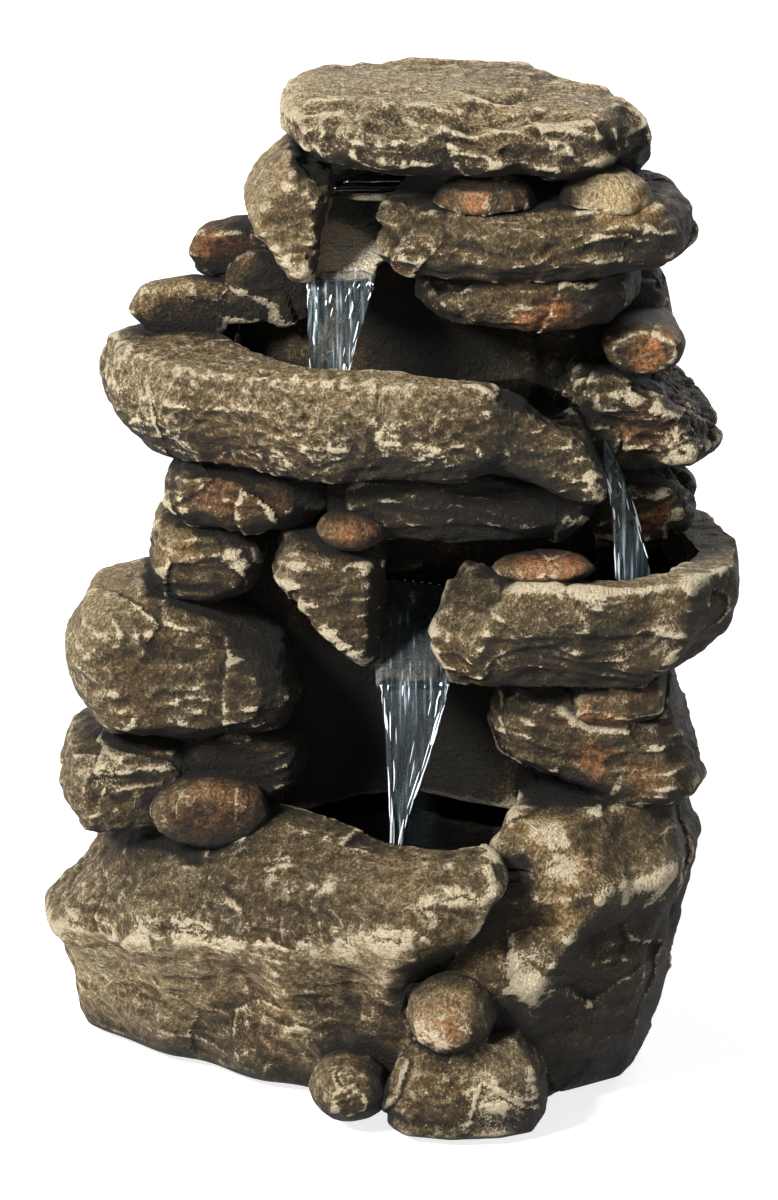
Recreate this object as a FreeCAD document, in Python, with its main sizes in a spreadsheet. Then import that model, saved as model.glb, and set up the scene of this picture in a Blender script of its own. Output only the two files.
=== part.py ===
"""Tabletop rock cascade fountain: cast stones bonded round a hollow cliff, over a tub with a pump.

Millimetres, +Z up, -Y towards the viewer, origin under the middle of the base.
Water is pumped from the tub to the top reservoir and falls over three spillways back to the tub.
"""
import FreeCAD, Part
import math
import os

import Sketcher

from FreeCAD import Placement, Rotation, Vector

doc = FreeCAD.newDocument("fountain")
sheet = doc.addObject("Spreadsheet::Sheet", "sizes")
next_row = 1
nodes = []


def cells(**values):
    """Writes named sizes to the sheet, one row each."""
    global next_row
    for alias, value in values.items():
        sheet.set(f"A{next_row}", alias)
        sheet.set(f"B{next_row}", str(value))
        sheet.setAlias(f"B{next_row}", alias)
        next_row += 1


# Driving dimensions of the whole
cells(
    foot_height=3, foot_radius=9,
    pool_rim=100, middle_rim=210, upper_rim=290, slab_bed=326,
    wall=6, tub_floor=6, bond_gap=0.4, back_plane=96,
    cliff_x=0, cliff_y=42, cliff_half_width=92, cliff_half_depth=66,
    cliff_top_half_width=62, cliff_top_half_depth=38, cliff_top_x=10,
    alcove_depth=42, alcove_x=4, alcove_half_width=34,
    basin_floor=14, pool_clear=7, lower_clear=16, upper_slant=0, middle_slant=0.25,
)
# Spillways: the lip is where the water leaves, the head is where it enters
cells(
    top_lip_x=-18, top_lip_y=-31, top_head_x=-8, top_head_y=14,
    lower_lip_x=10, lower_lip_y=-48, lower_head_x=13, lower_head_y=8,
    chute_width=27, chute_cheek=2.5, top_drop=25, lower_drop=27, chute_thickness=6, channel_height=20,
    top_lip_rise=-5, lower_lip_rise=-43,
)
# Pump, riser, access door and small fittings
cells(
    pump_x=12, riser_clear=2, pump_width=44, pump_height=38, pump_length=34, pump_round=3,
    rotor_bore=9.5, bore_depth=24, rotor_radius=8.6, rotor_end_gap=1, disc_gap=0.5,
    shaft_radius=1.5, run_gap=0.05,
    bush_radius=3, bush_length=3, volute_length=13, volute_radius=14, volute_depth=7,
    inlet_radius=7, spider_width=3, spider_depth=4, boss_radius=4.2,
    disc_radius=11, disc_thickness=1.5, blade_height=4, blade_width=1.4, blade_length=6, blade_count=6,
    strainer_length=7, strainer_wall=2,
    slot_width=2.4, slot_length=34, slot_pitch=5, slot_count=3, slot_rise=-14,
    rail_length=32, rail_height=1.6, rail_depth=2.6, rail_pitch=11.2,
    slider_width=16, slider_height=9, slider_thickness=2.2, slider_gap=0.3, slider_travel=7,
    sucker_height=6, sucker_radius=7, sucker_neck=3,
    gland_radius=4, gland_bore=2.6, gland_length=8, gland_set=8,
    nozzle_radius=5, nozzle_bore=3.6, nozzle_length=18, nozzle_root=2, nozzle_reach=10, nozzle_set=5.2,
    tube_bore=5.1, tube_wall=1.8, tube_overlap=14, clip_height=6, clip_wall=1.6, clip_fit=0.1, clip_inset=3,
    fitting_flange=10, fitting_flange_height=2.5, seal_height=1.2, nut_radius=9, nut_height=6, tail_length=18,
    cup_radius=21, cup_depth=16, reservoir_height=26,
    door_width=76, door_height=62, door_plate=5, door_bottom=108, door_margin=6, door_round=6,
    spigot_depth=7, spigot_wall=3, grip_depth=10, grip_width=30, grip_height=10, door_fit=0.4,
    grommet_radius=6, grommet_bore=3.5, grommet_flange=9, grommet_lip=2.5, grommet_rise=4, seat_fit=0.05,
    lip_slack=1,
    drain_radius=5, drain_head=8, drain_head_height=4, drain_z=20, drain_x=-40, drain_fit=0.08, drain_gap=0.3,
)
doc.recompute()


def size(alias):
    """The value of one named cell."""
    return float(sheet.get(alias))


GAP = size("bond_gap")

# Unit outlines, in percent of a stone's own length and of its other side, counter-clockwise
OVAL = [(50 + 50 * math.cos(math.tau * k / 12), 50 + 50 * math.sin(math.tau * k / 12)) for k in range(12)]
SLAB = [(0, 32), (10, 8), (38, 0), (72, 4), (93, 16), (100, 45), (95, 80), (70, 97), (35, 100), (8, 84)]
CAP = [(0, 45), (6, 15), (28, 2), (58, 0), (86, 14), (100, 42), (92, 66), (66, 92), (30, 100), (6, 80)]
CHIP = [(0, 55), (22, 82), (55, 100), (100, 78), (94, 40), (80, 0), (60, 3), (40, 22), (15, 40)]
STRATA = [(0, 60), (8, 96), (38, 100), (62, 86), (88, 48), (100, 22), (86, 10), (52, 8), (20, 0), (4, 20)]
SPOUT = [(0, 100), (36, 92), (68, 60), (100, 14), (94, 0), (50, 6), (0, 14)]
BOULDER = [(0, 62), (12, 92), (34, 100), (66, 84), (92, 60), (100, 30), (92, 6), (60, 0), (18, 4), (6, 30)]
WEDGE = [(0, 62), (8, 96), (50, 100), (84, 92), (100, 22), (90, 2), (64, 0), (30, 22), (6, 40)]
TRIANGLE = [(0, 72), (12, 100), (60, 98), (100, 94), (97, 2), (88, 0), (40, 38)]
STUMP = [(0, 45), (8, 88), (40, 100), (78, 90), (100, 60), (92, 14), (55, 0), (14, 4)]
# How a stone swells along its stacking axis: (share of the way, share of the full outline)
FLAT = [(0, 0.84), (0.3, 1), (0.72, 0.98), (1, 0.87)]
DOMED = [(0, 0.8), (0.3, 1), (0.7, 0.94), (1, 0.66)]
PEBBLE = [(0, 0.42), (0.2, 0.82), (0.5, 1), (0.8, 0.84), (1, 0.46)]
FRONT = [(0, 0.68), (0.1, 0.9), (0.28, 1), (0.74, 0.96), (1, 0.7)]
LOG = [(0, 0.74), (0.08, 0.95), (0.25, 1), (0.6, 0.88), (1, 0.6)]
FOOTED = [(0, 0.94), (0.3, 1), (0.7, 0.9), (1, 0.62)]


def polyhedron(rings):
    """A closed solid through rings of equally many points, with flat ends and triangles between rings."""
    faces = [Part.Face(Part.makePolygon(ring + ring[:1])) for ring in (rings[0], rings[-1])]
    for low, high in zip(rings, rings[1:]):
        for k in range(len(low)):
            after = (k + 1) % len(low)
            for corners in ((low[k], low[after], high[after]), (low[k], high[after], high[k])):
                faces.append(Part.Face(Part.makePolygon([*corners, corners[0]])))
    solid = Part.Solid(Part.makeShell(faces))
    if solid.Volume < 0:
        solid.reverse()
    return solid


def prism(outline, low, high):
    """A straight prism over a plan outline."""
    return polyhedron([[Vector(x, y, z) for x, y in outline] for z in (low, high)])


def inset(outline, distance):
    """A plan outline moved inwards by a distance, corner by corner."""
    wire = Part.makePolygon([Vector(x, y, 0) for x, y in [*outline, outline[0]]])
    moved = Part.Face(wire).makeOffset2D(-distance, join=2)
    return [(v.X, v.Y) for v in moved.OuterWire.OrderedVertexes]


def biggest(shape):
    """The largest solid of a shape that a cut may have split."""
    return max(shape.Solids, key=lambda solid: solid.Volume)


def node(label, shape):
    """Adds a finished sub-part to the document as its own object."""
    feature = doc.addObject("Part::Feature", label)
    feature.Label = label
    feature.Shape = shape
    nodes.append(feature)
    return feature


# The cliff: a tapering shell, flat behind, with an alcove over the lower pool
CLIFF_SIDES = 28


def cliff_levels():
    """(height, centre x, half width, half depth, alcove depth) up the cliff."""
    base, top = size("pool_rim"), size("slab_bed")
    wide, deep = size("cliff_half_width"), size("cliff_half_depth")
    wide_top, deep_top = size("cliff_top_half_width"), size("cliff_top_half_depth")
    lip = size("middle_rim") + size("lower_lip_rise")
    alcove = size("alcove_depth")
    levels = [(base, alcove), (lip, alcove), (size("middle_rim") - 14, 12), (size("upper_rim") - 26, 6)]
    levels.append((top, 0))
    made = []
    for height, depth in levels:
        up = (height - base) / (top - base)
        middle = size("cliff_x") + up * (size("cliff_top_x") - size("cliff_x"))
        made.append((height, middle, wide + up * (wide_top - wide), deep + up * (deep_top - deep), depth))
    return made


def cliff_ring(level, shrink):
    """One plan ring of the cliff at a level, drawn in by shrink."""
    height, middle, half_width, half_depth, alcove = level
    ring = []
    for k in range(CLIFF_SIDES):
        turn = math.tau * (k + 0.5) / CLIFF_SIDES
        x = middle + (half_width - shrink) * math.cos(turn)
        y = size("cliff_y") + (half_depth - shrink) * math.sin(turn)
        if math.sin(turn) < 0:
            y += alcove * math.exp(-(((x - size("alcove_x")) / size("alcove_half_width")) ** 2))
        ring.append(Vector(x, min(y, size("back_plane") - shrink), height))
    return ring


def cliff_solid(shrink=0.0):
    return polyhedron([cliff_ring(level, shrink) for level in cliff_levels()])


cliff_filled = cliff_solid()
cliff_tool = cliff_solid(-GAP)

# The tub: the cliff's own back half, brought forward to a point under the lower pool
TUB_FRONT = [(-86, 8), (-52, -28), (-8, -60), (24, -82), (56, -74), (86, -28)]
foot_level = (*cliff_levels()[0][:4], 0)
tub_back = [(p.x, p.y) for p in cliff_ring(foot_level, 0) if p.y > size("cliff_y") - 20]
tub_outline = sorted(tub_back, key=lambda p: math.atan2(p[1] - size("cliff_y") + 21, p[0])) + TUB_FRONT
tub_base, tub_top = size("foot_height"), size("pool_rim")
tub_filled = prism(tub_outline, tub_base, tub_top)
tub_tool = prism(inset(tub_outline, -GAP), tub_base - 1, tub_top + GAP)
tub_pocket = prism(inset(tub_outline, size("wall")), tub_base + size("tub_floor"), tub_top + 1)

# Basins: plan outlines from the left tip round the front, in millimetres on the plan
UPPER_PLAN = [
    (-112, 10), (-106, -16), (-82, -42), (-42, -58), (4, -66),
    (42, -68), (58, -54), (54, 0), (0, 40), (-80, 38),
]
MIDDLE_PLAN = [
    (21, -50), (38, -66), (78, -75), (116, -64), (136, -34),
    (139.2, 2), (127, 36), (70, 44), (40, 12), (27, -22),
]
LOWER_RINGS = [
    [(-112, 46), (-110, 16), (-82, -16), (-48, -44), (-26, -58), (-10, -62), (4, -20), (-50, 60)],
    [(-136, 26), (-128, -12), (-92, -48), (-42, -76), (8, -96), (36, -94), (32, -50), (-60, 60)],
    [(-108, 28), (-100, -20), (-74, -52), (-32, -78), (14, -98), (41, -98), (36, -58), (-60, 60)],
    [(-92, 30), (-80, -14), (-56, -38), (-16, -66), (12, -85), (36, -92), (36, -64), (-50, 50)],
]
LOWER_HEIGHTS = [3, 78, 96, 108]
LOWER_TILTS = [0, 0.19, 0.05, 0]
RIGHT_RINGS = [
    [(-6, -66), (56, -68), (90, -42), (100, 0), (92, 50), (40, 30)],
    [(4, -86), (58, -87), (100, -58), (117, -10), (112, 55), (40, 30)],
    [(38, -84), (82, -74), (113, -46), (122, 0), (112, 50), (40, 30)],
    [(48, -62), (80, -58), (106, -34), (113, 5), (100, 44), (50, 30)],
]
RIGHT_HEIGHTS = [3, 58, 90, 117]
RIGHT_TILTS = [0, 0, 0, 0]


def swollen(plan, low, high, profile, slant, grow=0.0):
    """A stone over a plan outline, swelling between its bed and its top and slanting to the right going up."""
    middle_x = sum(x for x, _ in plan) / len(plan)
    middle_y = sum(y for _, y in plan) / len(plan)
    rings = []
    for share, scale in profile:
        height = low - grow + share * (high - low + 2 * grow)
        shift = middle_x - slant * (high - height)
        spread = [(shift + (x - middle_x) * scale, middle_y + (y - middle_y) * scale) for x, y in plan]
        rings.append([Vector(x, y, height) for x, y in inset(spread, -grow)] if grow
                     else [Vector(x, y, height) for x, y in spread])
    return polyhedron(rings)


def stacked(plans, heights, tilts, grow=0.0):
    """A stone through its own plan outline at each height, each ring rising to the right by its tilt."""
    last = len(heights) - 1
    rings = []
    for k, (plan, height, tilt) in enumerate(zip(plans, heights, tilts)):
        lift = -grow if k == 0 else grow if k == last else 0.0
        outline = inset(plan, -grow) if grow else plan
        rings.append([Vector(x, y, height + lift + tilt * x) for x, y in outline])
    return polyhedron(rings)


BASIN = [(0, 0.78), (0.35, 0.97), (0.7, 1), (1, 0.94)]
upper_low = size("upper_rim") - 40
middle_low = size("middle_rim") - 43
upper_body = (UPPER_PLAN, upper_low, size("upper_rim"), BASIN, size("upper_slant"))
middle_body = (MIDDLE_PLAN, middle_low, size("middle_rim"), BASIN, size("middle_slant"))
upper_shape, upper_tool = swollen(*upper_body), swollen(*upper_body, GAP)
middle_shape, middle_tool = swollen(*middle_body), swollen(*middle_body, GAP)

# The riser stands just behind the alcove's wall, and the pump under it
tube_radius = size("tube_bore") + size("tube_wall")
alcove_level = cliff_levels()[1]
alcove_wall = size("cliff_y") - alcove_level[3] + alcove_level[4] + size("wall")
riser_y = alcove_wall + size("riser_clear") + tube_radius
pump_back = riser_y + size("pump_length") + size("nozzle_set")

# Pools: the water's room in each basin, kept clear of every stone
UPPER_POOL = [
    (-74, 14), (-58, -7), (-34, -37), (10, -49), (45, -55), (66, -44), (71, -22), (30, 34), (-60, 34),
]
MIDDLE_POOL = [
    (-2, -12), (26, -24), (46, -44), (80, -55), (106, -45), (118, -14), (108, 26), (40, 34), (0, 20),
]
upper_pool = prism(UPPER_POOL, upper_low + size("basin_floor"), size("upper_rim") + size("pool_clear"))
middle_pool = prism(MIDDLE_POOL, middle_low + size("basin_floor"), size("middle_rim") + size("pool_clear"))
LOWER_POOL = [(-44, -18), (2, -56), (24, -72), (34, -70), (46, -50), (58, 0), (-30, 20)]
lower_pool = prism(LOWER_POOL, tub_base + size("tub_floor"), tub_top + size("lower_clear"))


def chute_rings(name, level, over, width, thickness):
    """A sloping slab from a spillway's head down to its lip, its top face raised by over."""
    lip_z = level + over
    head_z = lip_z + size(f"{name}_drop")
    rings = []
    for end, height in (("lip", lip_z), ("head", head_z)):
        x, y = size(f"{name}_{end}_x"), size(f"{name}_{end}_y")
        rings.append([Vector(x + side * width / 2, y, height - drop)
                      for side, drop in ((-1, thickness), (1, thickness), (1, 0), (-1, 0))])
    return polyhedron(rings)


top_lip = size("slab_bed") + size("top_lip_rise")
lower_lip = size("middle_rim") + size("lower_lip_rise")
wide_slab = size("chute_width") + 2 * size("chute_cheek")
chutes = {}
channels = []
for name, level in (("top", top_lip), ("lower", lower_lip)):
    chutes[name] = chute_rings(name, level, 0, wide_slab, size("chute_thickness"))
    room = size("channel_height")
    channels.append(chute_rings(name, level, room, size("chute_width"), room))
chute_tools = [chute_rings(n, lv, GAP, wide_slab + 2 * GAP, size("chute_thickness") + 2 * GAP)
               for n, lv in (("top", top_lip), ("lower", lower_lip))]
keep_clear = [upper_pool, middle_pool, lower_pool, *channels]

# Castings made first: each later stone is trimmed to them
finished_tools = [cliff_tool, tub_tool]


def trim(shape, tools):
    """Cuts a stone back from each tool that reaches it and keeps the main piece."""
    for tool in tools:
        if shape.BoundBox.intersect(tool.BoundBox):
            cut = shape.cut(tool)
            if cut.Solids:
                shape = biggest(cut)
    return shape


def basin(label, shape, tool, pool):
    """A bowl stone, trimmed to what stands already, with its pool cut out."""
    cut = trim(shape, [*finished_tools, pool, *channels])
    node(label, cut)
    finished_tools.append(tool)


basin("upper_basin", upper_shape, upper_tool, upper_pool)
basin("middle_basin", middle_shape, middle_tool, middle_pool)
lower_stack = (LOWER_RINGS, LOWER_HEIGHTS, LOWER_TILTS)
right_stack = (RIGHT_RINGS, RIGHT_HEIGHTS, RIGHT_TILTS)
basin("lower_basin", stacked(*lower_stack), stacked(*lower_stack, GAP), lower_pool)
basin("right_boulder", stacked(*right_stack), stacked(*right_stack, GAP), lower_pool)
for name in ("top", "lower"):
    node(f"{name}_chute", trim(chutes[name], finished_tools))
finished_tools += chute_tools


def stone_rings(outline, profile, along, length, depth, height, x, y, z, lean, grow):
    """Rings of one stone: stacked up (Z) from a plan, or front to back (Y) from a face outline.

    The stone rises to the right by its lean.
    """
    rings = []
    for share, scale in profile:
        ring = []
        for across, other in outline:
            u = (across - 50) / 100 * scale * (length + 2 * grow)
            if along == "up":
                v = (other - 50) / 100 * scale * (depth + 2 * grow)
                ring.append(Vector(x + u, y + v, z - grow + share * (height + 2 * grow) + lean * u))
            else:
                v = (other - 50) / 100 * scale * (height + 2 * grow)
                front = y - depth / 2 - grow
                ring.append(Vector(x + u, front + share * (depth + 2 * grow), z + height / 2 + v + lean * u))
        rings.append(ring)
    return rings


def stone(label, outline, profile, along, level, length, depth, height, x, y, rise, lean=0):
    """One cast stone: its own sizes go to the sheet, its bed lies a rise above a named level."""
    names = ("length", "depth", "height", "x", "y", "rise", "lean")
    cells(**{f"{label}_{n}": v for n, v in zip(names, (length, depth, height, x, y, rise, lean))})
    doc.recompute()
    length, depth, height, x, y, rise, lean = (size(f"{label}_{n}") for n in names)
    place = (outline, profile, along, length, depth, height, x, y, size(level) + rise, lean)
    shape = trim(polyhedron(stone_rings(*place, 0.0)), [*finished_tools, *keep_clear])
    node(label, shape)
    finished_tools.append(polyhedron(stone_rings(*place, GAP)))


# The top: reservoir block, the stones beside the top chute, and the cap
RESERVOIR_PLAN = [
    (-44, -12), (-14, -18), (34, -20), (66, 0), (72, 40), (50, 74), (0, 80), (-36, 60), (-48, 24),
]
reservoir_low = size("slab_bed")
reservoir_high = reservoir_low + size("reservoir_height")
reservoir = prism(RESERVOIR_PLAN, reservoir_low, reservoir_high)
fitting = Vector(size("pump_x"), riser_y, 0)
cup = Part.makeCylinder(size("cup_radius"), size("cup_depth") + 1,
                        fitting + Vector(0, 0, reservoir_high - size("cup_depth")))
CUP_NOTCH = [(-24, 10), (10, 10), (22, 44), (2, 46)]
notch = prism(CUP_NOTCH, reservoir_high - 6, reservoir_high + 1)
fitting_hole = Part.makeCylinder(size("nozzle_radius") + GAP, size("reservoir_height"),
                                 fitting + Vector(0, 0, reservoir_low))
reservoir = trim(reservoir, [cup, notch, fitting_hole, *chute_tools, *channels])
node("top_reservoir", reservoir)
finished_tools.append(prism(inset(RESERVOIR_PLAN, -GAP), reservoir_low - GAP, reservoir_high + GAP))

stone("cap_slab", CAP, FLAT, "up", "slab_bed", 142, 95, 24, 29, -1, 39.5, -0.06)
stone("chute_stone_left", CHIP, FRONT, "back", "slab_bed", 34, 70, 51.5, -39, -4, -7)
stone("upper_slab", SLAB, FLAT, "up", "slab_bed", 124, 86, 26, 54, -8, 0)
stone("cap_prop", SLAB, FLAT, "up", "slab_bed", 58, 52, 18, 70, 18, 26.5)
stone("cap_back", SLAB, FLAT, "up", "slab_bed", 92, 26, 18, 4, 66, 26.5)
stone("slab_pebble_left", OVAL, PEBBLE, "up", "slab_bed", 40, 32, 20, 36, -31, 17)
stone("slab_pebble_right", OVAL, PEBBLE, "up", "slab_bed", 37, 32, 23, 82, -27, 15)
stone("under_slab", OVAL, FLAT, "up", "slab_bed", 86, 74, 21.6, 52, -8, -22)
stone("copper_cobble", OVAL, LOG, "back", "upper_rim", 32, 54, 21, 97, 2, -9)
stone("strata_rock", STRATA, FRONT, "back", "upper_rim", 60, 74, 39, 96, 8, -48)
stone("right_filler", OVAL, FRONT, "back", "upper_rim", 50, 50, 70, 82, 30, -36)
stone("strata_foot", STUMP, FRONT, "back", "middle_rim", 40, 60, 32, 96, 8, 0)
stone("left_log_low", STUMP, LOG, "back", "upper_rim", 60, 26, 21, -70, 12, 0.4)
stone("left_log_high", STUMP, LOG, "back", "upper_rim", 44, 26, 21, -55, 19, 21.6)
stone("left_filler", SLAB, FRONT, "back", "upper_rim", 42, 46, 38, -46, 23, -4)
stone("upper_spout", SPOUT, FRONT, "back", "upper_rim", 44, 46, 50, 62, -42, -50)

# The middle: stones between the upper basin and the lower tier
stone("spout_bed", SLAB, FLAT, "up", "middle_rim", 106, 76, 28, 28, -12, 11)
stone("left_bed", SLAB, DOMED, "up", "middle_rim", 66, 76, 26, -54, -2, 14)
stone("lip_pebble", OVAL, PEBBLE, "up", "middle_rim", 28, 26, 14, -14, -42, 10)
stone("chute_wedge", TRIANGLE, FRONT, "back", "middle_rim", 42, 66, 54, -24, -14, -41)
stone("rim_pebble", OVAL, PEBBLE, "up", "middle_rim", 41, 28, 10, 59, -54, 0)
stone("left_boulder", BOULDER, FRONT, "back", "pool_rim", 92, 78, 63, -80, 0, 35)
stone("left_knob", STUMP, FRONT, "back", "middle_rim", 44, 60, 34, -71, 0, -20)
stone("left_stump", STUMP, FRONT, "back", "pool_rim", 60, 76, 40, -99, 6, -5)
stone("shadow_stone", SLAB, FRONT, "back", "pool_rim", 52, 60, 34, -58, 4, 8)
stone("copper_pebble", OVAL, LOG, "back", "pool_rim", 46, 44, 26, -69, -28, -1)
stone("lip_stone", STUMP, FLAT, "up", "pool_rim", 42, 62, 16, 87, -28, 51)
stone("right_wedge", WEDGE, FRONT, "back", "pool_rim", 82, 78, 58, 80, -10, 10)

# The foot: cobbles and the stone under the right boulder
stone("front_stone", SLAB, FOOTED, "up", "foot_height", 62, 58, 36, 30, -83, 0)
stone("round_cobble", OVAL, PEBBLE, "back", "foot_height", 35, 42, 33, 23.5, -88, 28)
stone("small_cobble", OVAL, PEBBLE, "back", "foot_height", 30, 36, 26, -15.5, -84, 0)

# The cliff shell and the tub, cut by their own openings
back = size("back_plane")
wall = size("wall")
cliff_core = polyhedron([cliff_ring(level, wall) for level in cliff_levels()])
door_middle = size("door_bottom") + size("door_height") / 2
opening_width = size("door_width") - 2 * size("door_margin")
opening_height = size("door_height") - 2 * size("door_margin")
doorway = Part.makeBox(opening_width, 3 * wall, opening_height,
                       Vector(-opening_width / 2, back - 2 * wall, door_middle - opening_height / 2))
grommet_z = size("door_bottom") + size("door_height") + size("grommet_flange") + size("grommet_rise")
BACKWARDS = Vector(0, 1, 0)


def rod(radius, start, length, direction=BACKWARDS):
    """A plain round bar along a direction."""
    return Part.makeCylinder(radius, length, start, direction)


grommet_seat = rod(size("grommet_radius"), Vector(0, back - 2 * wall, grommet_z), 3 * wall)
node("cliff_shell", biggest(cliff_filled.cut(cliff_core).cut(doorway).cut(grommet_seat)))
drain_at = Vector(size("drain_x"), back, size("drain_z"))
drain_hole = rod(size("drain_radius") + size("drain_fit"), drain_at - BACKWARDS * 2 * wall, 3 * wall)
node("reservoir_tub", biggest(tub_filled.cut(tub_pocket).cut(drain_hole)))


# Helpers for pieces built as feature bodies, each profile centred on its own sketch
def new_body(label, place=None):
    body = doc.addObject("PartDesign::Body", label)
    body.Label = label
    if place:
        body.Placement = place
    nodes.append(body)
    return body


def profile(body, name, height="0", x="0", y="0"):
    """A sketch on the body's XY plane, moved to x, y and a height given as expressions."""
    made = body.newObject("Sketcher::SketchObject", name)
    plane = next(f for f in body.Origin.OriginFeatures if f.Role == "XY_Plane")
    made.AttachmentSupport = (plane, [""])
    made.MapMode = "FlatFace"
    for axis, value in (("x", x), ("y", y), ("z", height)):
        made.setExpression(f"AttachmentOffset.Base.{axis}", value)
    return made


def box_profile(body, name, width, depth, **at):
    """A rectangle of two named sizes, centred on the sketch."""
    made = profile(body, name, **at)
    corners = [Vector(-1, -1, 0), Vector(1, -1, 0), Vector(1, 1, 0), Vector(-1, 1, 0)]
    for k in range(4):
        made.addGeometry(Part.LineSegment(corners[k], corners[(k + 1) % 4]), False)
    for k in range(4):
        made.addConstraint(Sketcher.Constraint("Coincident", k, 2, (k + 1) % 4, 1))
        made.addConstraint(Sketcher.Constraint("Horizontal" if k % 2 == 0 else "Vertical", k))
    made.addConstraint(Sketcher.Constraint("Symmetric", 0, 1, 1, 2, -1, 1))
    for line, kind, value in ((0, "DistanceX", width), (1, "DistanceY", depth)):
        index = made.addConstraint(Sketcher.Constraint(kind, line, 1, line, 2, 2.0))
        made.setExpression(f"Constraints[{index}]", value)
    return made


def disc_profile(body, name, radius, **at):
    """A circle of a named radius, centred on the sketch."""
    made = profile(body, name, **at)
    made.addGeometry(Part.Circle(Vector(0, 0, 0), Vector(0, 0, 1), 1), False)
    made.addConstraint(Sketcher.Constraint("Coincident", 0, 3, -1, 1))
    index = made.addConstraint(Sketcher.Constraint("Radius", 0, 1.0))
    made.setExpression(f"Constraints[{index}]", radius)
    return made


def extrude(body, kind, sketch, length, downwards=False):
    """A Pad upwards or a Pocket upwards from a sketch, or the other way."""
    made = body.newObject(f"PartDesign::{kind}", f"{sketch.Name}_{kind.lower()}")
    made.Profile = sketch
    made.setExpression("Length", length)
    made.Reversed = downwards if kind == "Pad" else not downwards
    sketch.Visibility = False
    doc.recompute()
    return made


def round_edges(body, radius):
    """Fillets the body's upright edges."""
    tip = body.Tip
    names = []
    for k, edge in enumerate(tip.Shape.Edges, 1):
        span = edge.BoundBox
        full = 0.9 * tip.Shape.BoundBox.ZLength
        if span.ZLength > full and span.XLength + span.YLength < 1e-6:
            names.append(f"Edge{k}")
    made = body.newObject("PartDesign::Fillet", "rounding")
    made.Base = (tip, names)
    made.setExpression("Radius", radius)
    doc.recompute()
    return made


# The pump, along its shaft: local +Z points at the viewer, local +Y up
shaft_z = size("foot_height") + size("tub_floor") + size("sucker_height") + size("pump_height") / 2
PUMP_PLACE = Placement(Vector(size("pump_x"), pump_back, shaft_z), Rotation(Vector(1, 0, 0), 90))

pump = new_body("pump_body", PUMP_PLACE)
PUMP_FACE = ("sizes.pump_width", "sizes.pump_height")
extrude(pump, "Pad", box_profile(pump, "pump_block", *PUMP_FACE), "sizes.pump_length")
round_edges(pump, "sizes.pump_round")
bore_floor = "sizes.pump_length - sizes.bore_depth"
bush_seat = "sizes.bush_radius + sizes.seat_fit"
extrude(pump, "Pocket", disc_profile(pump, "rotor_chamber", "sizes.rotor_bore", height=bore_floor),
        "sizes.bore_depth")
seat_floor = f"{bore_floor} - sizes.bush_length"
extrude(pump, "Pocket", disc_profile(pump, "rear_bush_seat", bush_seat, height=seat_floor),
        "sizes.bush_length")

cover = new_body("volute_cover", PUMP_PLACE)
front = "sizes.pump_length"
outlet = f"{front} + sizes.volute_length"
spider_base = f"{outlet} - sizes.spider_depth"
extrude(cover, "Pad", box_profile(cover, "cover_block", *PUMP_FACE, height=front), "sizes.volute_length")
round_edges(cover, "sizes.pump_round")
extrude(cover, "Pocket", disc_profile(cover, "volute_chamber", "sizes.volute_radius", height=front),
        "sizes.volute_depth")
extrude(cover, "Pocket", disc_profile(cover, "inlet_eye", "sizes.inlet_radius", height=front),
        "sizes.volute_length")
extrude(cover, "Pad", box_profile(cover, "spider", "2 * sizes.inlet_radius + 2", "sizes.spider_width",
                                  height=spider_base), "sizes.spider_depth")
extrude(cover, "Pad", disc_profile(cover, "spider_boss", "sizes.boss_radius", height=spider_base),
        "sizes.spider_depth")
extrude(cover, "Pocket", disc_profile(cover, "front_bush_seat", bush_seat, height=spider_base),
        "sizes.spider_depth")
NOZZLE_STEPS = (("Additive", "nozzle_radius", "nozzle_root"), ("Subtractive", "nozzle_bore", "nozzle_reach"))
for kind, radius, below in NOZZLE_STEPS:
    pipe = cover.newObject(f"PartDesign::{kind}Cylinder", f"nozzle_{kind.lower()}")
    pipe.setExpression("Radius", f"sizes.{radius}")
    pipe.setExpression("Height", f"sizes.nozzle_length + sizes.{below}")
    pipe.Placement = Placement(Vector(0, size("pump_height") / 2 - size(below),
                                      size("pump_length") + size("nozzle_set")),
                               Rotation(Vector(1, 0, 0), -90))
    doc.recompute()

strainer = new_body("inlet_strainer", PUMP_PLACE)
extrude(strainer, "Pad", box_profile(strainer, "strainer_block", *PUMP_FACE, height=outlet),
        "sizes.strainer_length")
round_edges(strainer, "sizes.pump_round")
hollow = [f"{side} - 2 * sizes.strainer_wall" for side in PUMP_FACE]
extrude(strainer, "Pocket", box_profile(strainer, "strainer_hollow", *hollow, height=outlet),
        "sizes.strainer_length - sizes.strainer_wall")
face = f"{outlet} + sizes.strainer_length"
slot = box_profile(strainer, "intake_slot", "sizes.slot_length", "sizes.slot_width",
                   height=f"{face} - sizes.strainer_wall", y="sizes.slot_rise")
first_slot = extrude(strainer, "Pocket", slot, "sizes.strainer_wall")
slots = strainer.newObject("PartDesign::LinearPattern", "intake_slots")
slots.Originals = [first_slot]
slots.Direction = (slot, ["V_Axis"])
slots.setExpression("Length", "sizes.slot_pitch * (sizes.slot_count - 1)")
slots.setExpression("Occurrences", "sizes.slot_count")
strainer.Tip = slots
doc.recompute()
for name, sign in (("rail_high", ""), ("rail_low", "-")):
    rail_y = f"sizes.slider_height / 2 + {sign}sizes.rail_pitch / 2"
    extrude(strainer, "Pad", box_profile(strainer, name, "sizes.rail_length", "sizes.rail_height",
                                         height=face, y=rail_y), "sizes.rail_depth")

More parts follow.
